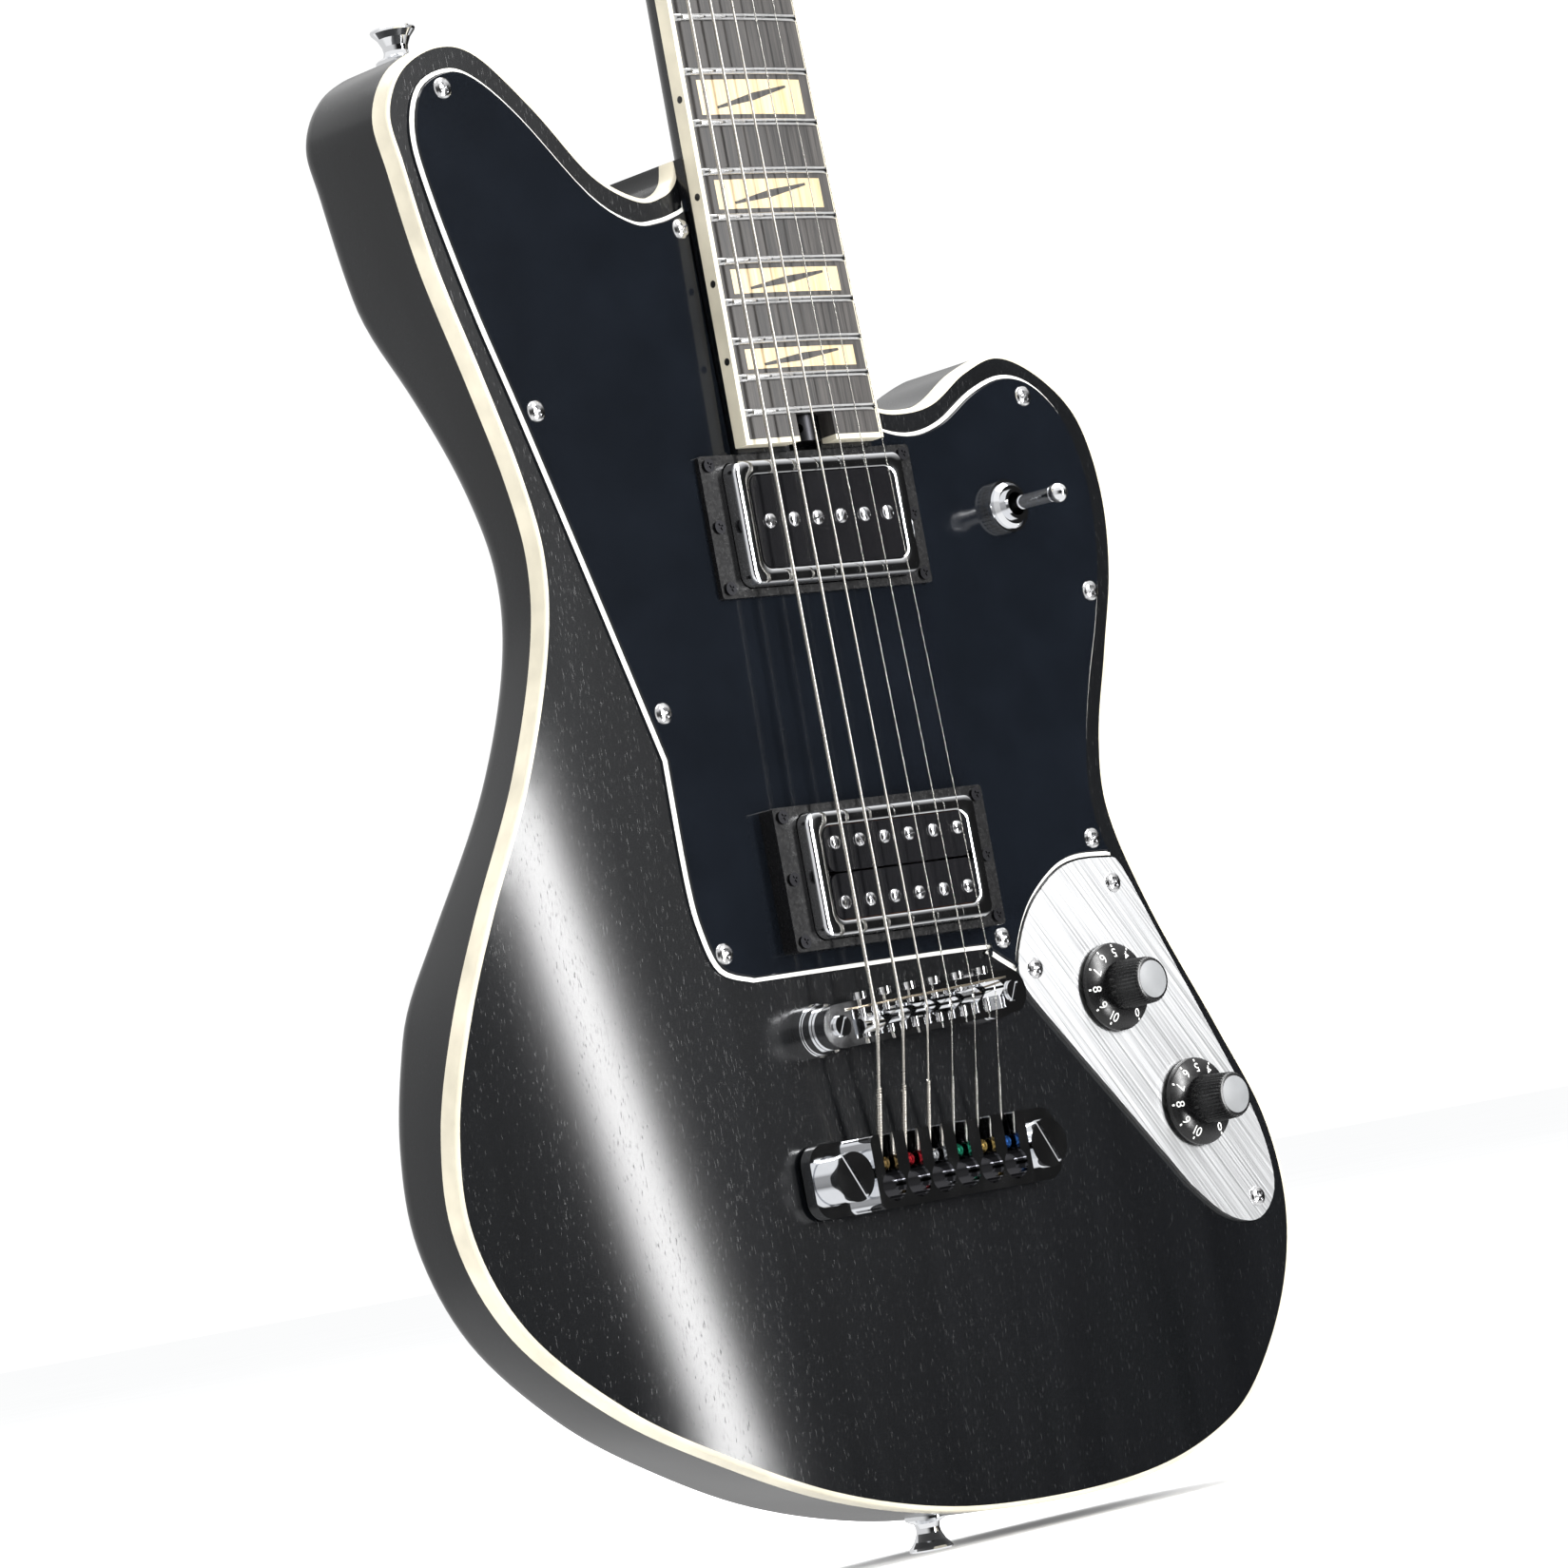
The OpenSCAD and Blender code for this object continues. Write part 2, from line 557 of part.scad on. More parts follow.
// ---- Neck joint ----
module neck_plate_shape(grow = 0) {
    g = grow;
    polygon([[-24 - g, 174 - g], [24 + g, 174 - g], [24 + g, 190 + g], [20, 196 + g],
        [-18, 242 + g], [-24 - g, 240 + g]]);
}
module neck_plate() {
    color("#c4c6c8") place() difference() {
        front(-body_t) linear_extrude(plate_depth) neck_plate_shape();
        for (p = neck_screw_at) rod(p, -body_t - 1, 0, 2.3);
        for (p = neck_screw_at) rod(p, -body_t - 1, -body_t + 1.3, 4.2);
    }
}
module wood_screws() {
    color("#b9bbbe") place() {
        for (p = neck_screw_at) translate([p[0], body_t, p[1]]) rotate([90, 0, 0])
            rotate_extrude() polygon([[0, 0], [2.2, 0], [4, 1.2], [2.2, 1.21], [2.2, 27],
                [1.6, 28], [1.6, 40], [0.2, 43], [0, 43]]);
        translate([-centre_x, -button_h, low_seat_z - button_l]) strap_screw();
        translate([horn_x, -button_h, high_seat_z + button_l]) mirror([0, 0, 1]) strap_screw();
    }
}

// ---- Plates ----
module guard_cuts() {
    translate([0, heel_end + 40]) square([58, 80], center = true);
    for (z = [neck_pickup_z, bridge_pickup_z]) translate([0, z])
        round_rect(cover_w + 4, cover_l + 1, 3);
    translate(toggle_at) circle(6.2);
    for (p = guard_screws) translate(p) circle(1.6);
}
module guard_ply(h, inset) {
    front(h) linear_extrude(ply_t) difference() {
        polygon(shifted(guard_outline(), inset));
        guard_cuts();
        for (z = [neck_pickup_z, bridge_pickup_z], x = [-1, 1], y = [-1 : 1])
            translate([x * ring_screw_x, z + y * ring_screw_z]) circle(1.2);
    }
}
module pickguard() {
    color("#11141b") place() {
        guard_ply(0, 0);
        guard_ply(2 * ply_t, bevel_w);
    }
}
module pickguard_white_ply() {
    color("#eceae2") place() guard_ply(ply_t, bevel_w * 0.25);
}
module plate_screws() {
    color("#d8dadc") place() {
        for (p = guard_screws) oval_screw(p, 3 * ply_t, 3.3, 1.3, 13);
        for (p = control_screws) oval_screw(p, plate_t, 3.3, 1.3, 13);
    }
}
module control_plate() {
    color("#c9cbcd") place() front(0) linear_extrude(plate_t) difference() {
        polygon(plate_outline());
        for (p = control_screws) translate(p) circle(1.6);
        for (p = [volume_at, tone_at]) translate(p) circle(4.9);
    }
}

// ---- Pickups ----
ring_flat_t = 1.8;
ring_l = 44;
ring_tall_t = bridge_pickup_h - 4.9 - 3 * ply_t;
module pickup_ring(z, t) {
    translate([0, -3 * ply_t, z]) rotate([90, 0, 0]) difference() {
        linear_extrude(t) difference() {
            round_rect(89, ring_l, 1.2);
            round_rect(cover_w + 0.5, cover_l + 0.5, cover_r);
        }
        for (x = [-1, 1], y = [-1, 1]) translate([x * ring_screw_x, y * ring_screw_z, -1])
            cylinder(h = t + 2, r = 1.2);
        for (x = [-1, 1]) translate([x * ring_screw_x, 0, -1]) cylinder(h = t + 2, r = 1.3);
    }
}
module pickup_rings() {
    color("#121212") place() {
        pickup_ring(neck_pickup_z, ring_flat_t);
        pickup_ring(bridge_pickup_z, ring_tall_t);
    }
}
module pickup_cover(z, top) {
    translate([0, -top, z]) rotate([-90, 0, 0]) difference() {
        linear_extrude(19) round_rect(cover_w, cover_l, cover_r);
        translate([0, 0, wall]) linear_extrude(20)
            round_rect(cover_w - 2 * wall, cover_l - 2 * wall, cover_r - wall);
        translate([0, 0, -1]) linear_extrude(3) round_rect(window_w, window_l, 3.5);
    }
}
module pickup_covers() {
    color("#d5d7d9") place() {
        pickup_cover(neck_pickup_z, neck_pickup_h);
        pickup_cover(bridge_pickup_z, bridge_pickup_h);
    }
}
// Pole rows of a pickup: one in the neck pickup, two in the bridge pickup
rows = [[0], [-9.17, 9.17]];
pole_r = 1.55;
module bobbin(z, top, pitch, ys, w) {
    translate([0, -top, z]) rotate([-90, 0, 0]) for (y = ys) difference() {
        union() {
            // The top flange stands in the cover's window, the rest under its rim
            linear_extrude(1.6) intersection() {
                translate([0, y]) round_rect(window_w - 0.4, w, 3.2);
                round_rect(window_w - 0.4, window_l - 0.4, 3.3);
            }
            translate([0, y, 0]) linear_extrude(14) round_rect(56, 6, 2.9);
            translate([0, y, 13]) linear_extrude(1.6) round_rect(window_w - 0.4, w, 3.2);
        }
        for (i = [0 : 5]) translate([(i - 2.5) * pitch, y, -1]) cylinder(h = 20, r = pole_r);
    }
}
module pickup_bobbins() {
    color("#0e0e0f") place() {
        bobbin(neck_pickup_z, neck_pickup_h, neck_pole_pitch, rows[0], window_l - 0.4);
        bobbin(bridge_pickup_z, bridge_pickup_h, bridge_pole_pitch, rows[1], cover_l / 2 - 1.6);
    }
}
module coil(z, top, w) {
    translate([0, 1.7 - top, z]) rotate([-90, 0, 0]) linear_extrude(11.2) difference() {
        round_rect(window_w - 2, w, 3);
        round_rect(56.1, 6.1, 3);
    }
}
module pickup_coils() {
    color("#9b5a2e") place() {
        coil(neck_pickup_z, neck_pickup_h, window_l - 4);
        for (y = rows[1]) coil(bridge_pickup_z + y, bridge_pickup_h, cover_l / 2 - 3);
    }
}
module pole(x, z, top, head_r, turn) {
    translate([x, -top, z]) rotate([-90, 0, 0]) difference() {
        union() {
            translate([0, 0, -0.7]) cylinder(h = 0.7, r = head_r);
            cylinder(h = 17.5, r = pole_r);
        }
        rotate([0, 0, turn]) translate([-5, -0.35, -1]) cube([10, 0.7, 0.8]);
    }
}
pole_turns = [10, 75, 15, 60, 115, 95];
module pickup_poles() {
    color("#c8cacc") place() {
        for (i = [0 : 5]) pole((i - 2.5) * neck_pole_pitch, neck_pickup_z, neck_pickup_h, 2.3,
            pole_turns[i]);
        for (y = rows[1], i = [0 : 5]) pole((i - 2.5) * bridge_pole_pitch, bridge_pickup_z + y,
            bridge_pickup_h, 2.1, pole_turns[5 - i]);
    }
}
module pickup_magnets() {
    color("#6d6e70") place() {
        for (s = [-1, 1]) translate([-30, 14.8 - neck_pickup_h, neck_pickup_z + s * 6 - 4])
            cube([60, 3, 8]);
        translate([-30, 14.8 - bridge_pickup_h, bridge_pickup_z - 6]) cube([60, 3, 12]);
    }
}
module small_screw(x, z, h, l) {
    translate([x, -h, z]) rotate([90, 0, 0]) difference() {
        union() {
            cylinder(h = 0.9, r = 2.1);
            translate([0, 0, -l]) cylinder(h = l, r = 1.05);
        }
        for (a = [25, 115]) rotate([0, 0, a]) translate([-1.2, -0.25, 0.4]) cube([2.4, 0.5, 1]);
    }
}
module pickup_screws() {
    color("#1c1c1d") place() for (p = [[neck_pickup_z, ring_flat_t],
            [bridge_pickup_z, ring_tall_t]]) {
        for (x = [-1, 1], y = [-1, 1]) small_screw(x * ring_screw_x, p[0] + y * ring_screw_z,
            3 * ply_t + p[1], 14);
        for (x = [-1, 1]) small_screw(x * ring_screw_x, p[0], 3 * ply_t + p[1], 20);
    }
}

// ---- Bridge ----
module bridge_frame() {
    translate([0, 0, -bridge_drop]) rotate([0, -bridge_slant, 0]) children();
}
post_half = bridge_posts_w / 2;
post_d_r = 3.2;
module bridge_base() {
    color("#cfd1d3") place() bridge_frame() difference() {
        intersection() {
            front(bridge_base_h) linear_extrude(bridge_top_h - bridge_base_h)
                round_rect(bridge_posts_w + 13, bridge_depth, 6.6);
            // The top is lower towards both ends
            translate([0, 420 - bridge_top_h, 0]) cylinder(h = 40, r = 420, center = true,
                $fn = 360);
        }
        box(-slot_half, slot_half, bridge_floor_h, 30, -slot_depth / 2, slot_depth / 2);
        for (s = [-1, 1]) rod([s * post_half, 0], 0, 30, post_d_r + 0.05);
        for (i = [0 : 5]) translate([saddle_x(i), -screw_h, -20]) cylinder(h = 40,
            r = screw_r + 0.02);
    }
}
screw_h = 12.2;
// Place of a saddle along the slanted bridge
function saddle_x(i) = bridge_x(i) / cos(bridge_slant);
module bridge_posts() {
    color("#d2d4d6") place() bridge_frame() for (s = [-1, 1]) translate([s * post_half, 0, 0])
        rotate([90, 0, 0]) difference() {
            union() {
                translate([0, 0, -20]) cylinder(h = 20 + bridge_top_h - 0.6, r = post_d_r);
                translate([0, 0, 3.9]) cylinder(h = 3.3, r = 7.6);
            }
            rotate([0, 0, 60]) translate([-5, -0.5, bridge_top_h - 1.6]) cube([10, 1, 5]);
        }
}
module stud_bushings() {
    color("#c6c8ca") place() {
        for (s = [-1, 1]) translate([s * post_half * cos(bridge_slant), 0, bridge_post_z(s)])
            rotate([90, 0, 0]) difference() {
                union() {
                    translate([0, 0, -21]) cylinder(h = 21, r = 5.5);
                    cylinder(h = 3.6, r = 8.2);
                }
                translate([0, 0, -30]) cylinder(h = 40, r = post_d_r + 0.03);
            }
        for (s = [-1, 1]) translate([s * tail_studs_w / 2, 0, -tail_drop])
            rotate([90, 0, 0]) difference() {
                union() {
                    translate([0, 0, -25]) cylinder(h = 25, r = 6);
                    cylinder(h = 1.2, r = 7.4);
                }
                translate([0, 0, -30]) cylinder(h = 40, r = 4.03);
            }
    }
}
module intonation_screws() {
    color("#d0d2d4") place() bridge_frame() for (i = [0 : 5]) translate([saddle_x(i),
            -screw_h, 0]) difference() {
        union() {
            translate([0, 0, -bridge_depth / 2]) cylinder(h = bridge_depth + 0.2, r = screw_r);
            translate([0, 0, bridge_depth / 2 + 0.1]) cylinder(h = 2.2, r = 2.3);
        }
        translate([-4, -0.35, bridge_depth / 2 + 1.5]) cube([8, 0.7, 3]);
    }
}
module saddle(i) {
    top = string_h(i) - 0.1;
    color("#c2c4c6") place() difference() {
        bridge_frame() translate([saddle_x(i) - saddle_w / 2, 0, crest_z[i]]) rotate([0, 90, 0])
            linear_extrude(saddle_w) polygon([[-saddle_l / 2, -bridge_floor_h - 0.3],
                [saddle_l / 2, -bridge_floor_h - 0.3], [saddle_l / 2, -bridge_top_h],
                [0.4, -top], [-0.4, -top], [-saddle_l / 2, -bridge_top_h]]);
        bridge_frame() translate([saddle_x(i), -screw_h, -20]) cylinder(h = 40,
            r = screw_r + running);
        // Groove under the string, with room for the saddle's travel
        bar(string_saddle(i) - [0, 0, 8], string_saddle(i) + [0, 0, 8], string_r[i] + 0.35);
        translate([bridge_x(i), -string_h(i), -bridge_drop - 6]) rotate([-6, 0, 0])
            translate([0, -0.3, 0]) cylinder(h = 6, r = string_r[i] + 0.35);
    }
}
module saddle_1() { saddle(0); }
module saddle_2() { saddle(1); }
module saddle_3() { saddle(2); }
module saddle_4() { saddle(3); }
module saddle_5() { saddle(4); }
module saddle_6() { saddle(5); }

// ---- Tailpiece ----
tail_w = 105;
tail_l = 22.5;
tail_h = 12.4;
comb_half = 33;
channel_w = 5.6;
pocket_r = 4.85;
channel_floor = 5;
module tailpiece() {
    color("#cfd1d3") place() translate([0, 0, -tail_drop]) difference() {
        union() {
            front(1.4) linear_extrude(4.2) round_rect(tail_w, tail_l, 6);
            front(1.4) linear_extrude(tail_h - 1.4) round_rect(2 * comb_half, tail_l, 2.5);
            for (s = [-1, 1]) rod([s * tail_studs_w / 2, 0], 1.4, 9.4, 7.2);
        }
        for (i = [0 : 5]) {
            box(bridge_x(i) - channel_w / 2, bridge_x(i) + channel_w / 2, channel_floor, 20,
                -4.5, 20);
            rod([bridge_x(i), -4.4], channel_floor, 20, pocket_r);
        }
        for (s = [-1, 1]) rod([s * tail_studs_w / 2, 0], 0, 20, 4.05);
    }
}
module tailpiece_studs() {
    color("#d6d8da") place() for (s = [-1, 1]) translate([s * tail_studs_w / 2, 0, -tail_drop])
        rotate([90, 0, 0]) difference() {
            union() {
                translate([0, 0, -24]) cylinder(h = 34, r = 4);
                translate([0, 0, 9.5]) cylinder(h = 3.1, r = 7.6);
            }
            rotate([0, 0, 118]) translate([-9, -0.7, 11.2]) cube([18, 1.4, 5]);
        }
}

// ---- Strings ----
function string_saddle(i) = [bridge_x(i), -string_h(i) - string_r[i],
    -bridge_drop + bridge_x(i) * sin(bridge_slant) + crest_z[i]];
function string_nut(i) = neck_point([nut_x(i), crown_y(nut_x(i)) - nut_rise, nut_z + 1.5]);
// Point where the string meets the inner side of its post
function string_post(i) = head_point([post_x[i] - post_side[i] * (post_r + string_r[i] + 0.35),
    wind_y, post_z[i]]);
ball_z = 7;
ball_h = 8.2;
function string_ball(i) = [bridge_x(i), -ball_h, ball_z - tail_drop - 4.6];
module strings() {
    color("#b8b4aa") place() for (i = [0 : 5]) {
        bar(string_ball(i) + [0, 0, 2.6], string_saddle(i), string_r[i], 0.35);
        bar(string_saddle(i), string_nut(i), string_r[i], 0.35);
        bar(string_nut(i), string_post(i), string_r[i], 0.35);
    }
}
module ball_ends() {
    color("#c98a3c") place() for (i = [0 : 5]) translate(string_ball(i)) rotate([0, 90, 0])
        difference() {
            cylinder(h = 3.4, r = 2.1, center = true);
            cylinder(h = 10, r = 0.9, center = true);
        }
}

// ---- Strap buttons ----
button_l = 11;
module strap_button() {
    // Stands on z = 0 and points along +Z
    difference() {
        rotate_extrude() polygon([[0, 0], [6.6, 0], [6.6, 1.2], [5.6, 1.9], [4.1, 2.6], [3.7, 4],
            [3.9, 5.6], [5, 8], [6.6, 9.8], [6.9, 10.5], [6.6, button_l], [0, button_l]]);
        translate([0, 0, -1]) cylinder(h = 20, r = 2.05);
        translate([0, 0, button_l - 2]) cylinder(h = 2.1, r = 3.7);
    }
}
module strap_screw() {
    // Head at z = 0 to 2, pointing along +Z
    difference() {
        union() {
            translate([0, 0, 0.3]) cylinder(h = 1.6, r = 3.5);
            cylinder(h = 34, r = 1.8);
        }
        for (a = [0, 90]) rotate([0, 0, a]) translate([-2, -0.4, -1]) cube([4, 0.8, 2.2]);
    }
}
module strap_buttons() {
    color("#d4d6d8") place() {
        translate([-centre_x, -button_h, low_seat_z]) mirror([0, 0, 1]) strap_button();
        translate([horn_x, -button_h, high_seat_z]) strap_button();
    }
}

// ---- Output jack ----
module jack_plate() {
    color("#c9cbcd") place() translate([153.5, -button_h, jack_z]) rotate([0, 90, 0])
        difference() {
            cylinder(h = 1.8, r = 14);
            translate([0, 0, -1]) cylinder(h = 4, r = 4.75);
        }
}
jack_bore_r = 3.25;
module output_jack() {
    color("#c0b48c") place() translate([133, -button_h, jack_z]) rotate([0, 90, 0])
        difference() {
            union() {
                cylinder(h = 20.4, r = 7.5);
                cylinder(h = 24.6, r = 4.7);
                translate([0, 0, 22.4]) cylinder(h = 2, r = 7, $fn = 6);
            }
            translate([0, 0, -1]) cylinder(h = 30, r = jack_bore_r);
        }
}

// ---- Controls ----
module knob(at) {
    barrel_r = 7.8;
    top_r = 6.6;
    n = 36;
    color("#101011") place() translate([at[0], -plate_t - 1, at[1]]) rotate([90, 0, 0])
        difference() {
            union() {
                rotate_extrude() polygon([[0, 0], [skirt_d / 2, 0], [skirt_d / 2, 1.3],
                    [skirt_d / 2 - 0.6, 1.9], [barrel_r + 0.6, 3.6], [0, 3.6]]);
                rotate_extrude() polygon([[0, 3], [barrel_r, 3], [top_r + 0.4, knob_len - 0.9],
                    [top_r, knob_len - 0.2], [0, knob_len]]);
            }
            for (k = [0 : n - 1]) rotate([0, 0, k * 360 / n]) translate([barrel_r + 0.1, 0, 3.9])
                rotate([0, -4.2, 0]) cylinder(h = knob_len, r = 0.42);
            translate([0, 0, -1]) cylinder(h = knob_len - 3, r = 3.02);
            translate([0, 0, -1]) cylinder(h = 3, r = 6.8);
        }
}
knob_len = knob_top_h - plate_t - 1;
module volume_knob() { knob(volume_at); }
module tone_knob() { knob(tone_at); }
module pot_shaft(at) {
    color("#b9bbbd") place() translate([at[0], 6, at[1]]) rotate([90, 0, 0])
        cylinder(h = 6 + knob_len - 2, r = 3);
}
module volume_shaft() { pot_shaft(volume_at); }
module tone_shaft() { pot_shaft(tone_at); }
module pots() {
    color("#a9abad") place() for (p = [volume_at, tone_at]) translate([p[0], 0, p[1]])
        rotate([90, 0, 0]) difference() {
            union() {
                translate([0, 0, -13]) cylinder(h = 10, r = 12);
                translate([0, 0, -3]) cylinder(h = 3, r = 6);
                cylinder(h = 3.9, r = 4.7);
                translate([0, 0, plate_t]) cylinder(h = 1.6, r = 6.4, $fn = 6);
            }
            translate([0, 0, -9]) cylinder(h = 20, r = 3.05);
            translate([0, 0, -9]) cylinder(h = 3, r = 4);
        }
}
module toggle_frame() {
    translate([toggle_at[0], -toggle_pivot_h, toggle_at[1]]) children();
}
pivot_r = 0.9;
pivot_l = 8.8;
module toggle_lever() {
    color("#dadcde") place() toggle_frame() rotate([0, 0, toggle_throw]) union() {
        // Pivot pin; the turn keeps its seam away from the lever's
        rotate([0, 0, 33]) translate([0, 0, -pivot_l / 2]) cylinder(h = pivot_l, r = pivot_r);
        rotate([90, 0, 0]) {
            rotate_extrude() polygon([[0, -13], [1.1, -13], [1.1, -2], [1.9, -1.6], [2.2, 0],
                [2.2, 2], [2.4, toggle_len - 2.2], [0, toggle_len - 2.2]]);
            translate([0, 0, toggle_len]) sphere(r = 3.15);
        }
    }
}
module toggle_switch() {
    color("#c7c9cb") place() translate([toggle_at[0], 0, toggle_at[1]]) rotate([90, 0, 0])
        difference() {
            union() {
                // Bushing, dress nut and the switch's frame in the cavity
                translate([0, 0, -5]) cylinder(h = 14.2, r = 4.9);
                difference() {
                    translate([0, 0, 2.4]) cylinder(h = 3.4, r = 8.4);
                    for (k = [0 : 39]) rotate([0, 0, 9 * k]) translate([8.5, 0, 2])
                        cylinder(h = 2.6, r = 0.35);
                }
                rotate_extrude() polygon([[0, 5.7], [7.4, 5.7], [7.4, 6.4], [6.2, 7.8], [0, 7.8]]);
                translate([-9, -13, -6]) cube([18, 26, 1.5]);
                for (s = [-1, 1]) translate([-9, s * 12 - 1, -26]) cube([18, 2, 21]);
                translate([-9, -13, -27]) cube([18, 26, 1.5]);
            }
            translate([0, 0, -5.5]) cylinder(h = 20, r = 3.75);
            translate([0, 0, -8]) cylinder(h = 6, r = 3.75);
            // Bearing of the lever's pivot pin
            translate([0, -pivot_l / 2 - 0.2, toggle_pivot_h]) rotate([-90, 0, 0])
                cylinder(h = pivot_l + 0.4, r = pivot_r + 0.05);
        }
}

// ---- Tuners ----
module at_post(i) {
    head_frame() translate([post_x[i], 0, post_z[i]]) children();
}
module tuner_housing(i) {
    s = post_side[i];
    difference() {
        union() {
            translate([-9, head_t, -shaft_drop - 5]) cube([18, housing_t, shaft_drop + 13.5]);
            // Bushing that comes through the head, with its washer
            translate([0, -2.2, 0]) rotate([-90, 0, 0]) cylinder(h = 2.1, r = 7, $fn = 6);
            translate([0, -3, 0]) rotate([-90, 0, 0]) cylinder(h = head_t + 3, r = 4.95);
        }
        translate([0, -5, 0]) rotate([-90, 0, 0]) cylinder(h = 40, r = post_r + running);
        translate([0, shaft_y - 3, 0]) rotate([-90, 0, 0]) cylinder(h = 6, r = wheel_r + 0.9);
        translate([-20, shaft_y, -shaft_drop]) rotate([0, 90, 0])
            cylinder(h = 40, r = shaft_r + running);
    }
}
module tuner_housings() {
    color("#b9bbbe") place() for (i = [0 : 5]) at_post(i) tuner_housing(i);
}
module tuner_button(i) {
    s = post_side[i];
    color("#cdcfd1") place() at_post(i) translate([0, shaft_y, -shaft_drop])
        rotate([0, 90 * s, 0]) {
            translate([0, 0, -8.8]) cylinder(h = 8.8 + 24, r = shaft_r);
            translate([0, 0, 9.3]) cylinder(h = 2, r = 3.4);
            // Oval grip
            translate([0, -3.4, 23]) rotate([-90, 0, 0]) linear_extrude(6.8)
                intersection() {
                    translate([0, 6]) circle(10.5);
                    translate([0, -10]) circle(10.5 * 1.9);
                    translate([-20, -13]) square([40, 14]);
                }
        }
}
module tuner_button_1() { tuner_button(0); }
module tuner_button_2() { tuner_button(1); }
module tuner_button_3() { tuner_button(2); }
module tuner_button_4() { tuner_button(3); }
module tuner_button_5() { tuner_button(4); }
module tuner_button_6() { tuner_button(5); }
module tuner_post(i) {
    color("#d2d4d6") place() at_post(i) rotate([-90, 0, 0]) {
        difference() {
            translate([0, 0, -17]) cylinder(h = 17 + head_t + 9, r = post_r);
            translate([0, 0, wind_y - 3.2]) rotate([90, 0, 90 + 20]) cylinder(h = 20, r = 0.8,
                center = true);
        }
        // Worm wheel
        translate([0, 0, shaft_y - 2.4]) linear_extrude(4.8) polygon([for (k = [0 :
            4 * wheel_teeth - 1]) let (a = 360 * k / 4 / wheel_teeth, r = wheel_r
            - (k % 4 < 2 ? 0 : 1.1)) [r * cos(a), r * sin(a)]]);
    }
}
module tuner_post_1() { tuner_post(0); }
module tuner_post_2() { tuner_post(1); }
module tuner_post_3() { tuner_post(2); }
module tuner_post_4() { tuner_post(3); }
module tuner_post_5() { tuner_post(4); }
module tuner_post_6() { tuner_post(5); }

body();
body_binding();
neck();
fretboard();
fretboard_binding();
frets();
inlays();
nut();
truss_rod();
truss_wheel();
neck_plate();
wood_screws();
pickguard();
pickguard_white_ply();
plate_screws();
control_plate();
pickup_rings();
pickup_covers();
pickup_bobbins();
pickup_coils();
pickup_poles();
pickup_magnets();
pickup_screws();
bridge_base();
bridge_posts();
stud_bushings();
intonation_screws();
saddle_1();
saddle_2();
saddle_3();
saddle_4();
saddle_5();
saddle_6();
tailpiece();
tailpiece_studs();
strings();
ball_ends();
strap_buttons();
jack_plate();
output_jack();
volume_knob();
tone_knob();
volume_shaft();
tone_shaft();
pots();
toggle_lever();
toggle_switch();
tuner_housings();
tuner_button_1();
tuner_button_2();
tuner_button_3();
tuner_button_4();
tuner_button_5();
tuner_button_6();
tuner_post_1();
tuner_post_2();
tuner_post_3();
tuner_post_4();
tuner_post_5();
tuner_post_6();
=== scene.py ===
"""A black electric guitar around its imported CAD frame: camera, studio, materials and detailed pieces."""

import math

import bmesh
import bpy
import numpy as np
from mathutils import Matrix, Vector
from mathutils.geometry import delaunay_2d_cdt


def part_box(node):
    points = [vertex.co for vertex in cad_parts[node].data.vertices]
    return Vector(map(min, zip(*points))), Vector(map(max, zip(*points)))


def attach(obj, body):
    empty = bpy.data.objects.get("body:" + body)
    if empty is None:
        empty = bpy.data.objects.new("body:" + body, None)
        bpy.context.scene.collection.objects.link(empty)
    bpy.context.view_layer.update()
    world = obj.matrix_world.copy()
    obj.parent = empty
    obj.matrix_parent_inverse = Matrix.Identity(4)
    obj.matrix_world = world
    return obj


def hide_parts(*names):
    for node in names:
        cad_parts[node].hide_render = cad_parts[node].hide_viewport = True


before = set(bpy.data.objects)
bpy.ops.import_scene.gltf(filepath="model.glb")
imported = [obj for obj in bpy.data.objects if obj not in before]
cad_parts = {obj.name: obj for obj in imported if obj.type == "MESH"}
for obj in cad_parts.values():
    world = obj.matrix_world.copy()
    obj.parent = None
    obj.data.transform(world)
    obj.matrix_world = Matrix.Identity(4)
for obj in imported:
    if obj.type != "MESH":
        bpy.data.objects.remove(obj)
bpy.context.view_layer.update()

MM = 0.001

# ---- Camera: low, on the bass side, rolled with the leaning guitar ----
camera = bpy.data.objects.new("camera", bpy.data.cameras.new("camera"))
bpy.context.scene.collection.objects.link(camera)
bpy.context.scene.camera = camera
camera.data.sensor_width = 36
camera.data.lens = 135.57
camera.data.clip_end = 60
camera.location = (-1.24475, -1.32249, 0.10787)
camera.rotation_euler = [math.radians(angle) for angle in (94.1936, 10.3476, -42.4389)]

# ---- Places. Sizes below are millimetres: x from the centre line, h in front of the body's
# top, z above the saddle line, as the CAD measures them ----
CENTRE_X = (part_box("frets")[0].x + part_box("frets")[1].x) / 2
FRONT_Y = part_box("control_plate")[1].y
TAIL_DROP = 51.6
SADDLE_Z = (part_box("tailpiece")[0].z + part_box("tailpiece")[1].z) / 2 + TAIL_DROP * MM

SCALE_LENGTH = 647.7
FRETS = 22
BOARD_RADIUS = 305
BOARD_T = 6.5
FRET_H = 1.2
STRIP = 1.6
NECK_ANGLE = math.radians(0.73)
HEAD_ANGLE = math.radians(12)
HEAD_T = 15
LAST_FRET_H = 12.55
NUT_L = 5
NUT_RISE = 0.9
HEAD_FACE = FRET_H + BOARD_T + 0.3
BOARD_END = -9.8
BODY_T = 44
PLY_T = 0.8
PLATE_T = 1.5


def at(x, h, z):
    return Vector((CENTRE_X + x * MM, FRONT_Y - h * MM, SADDLE_Z + z * MM))


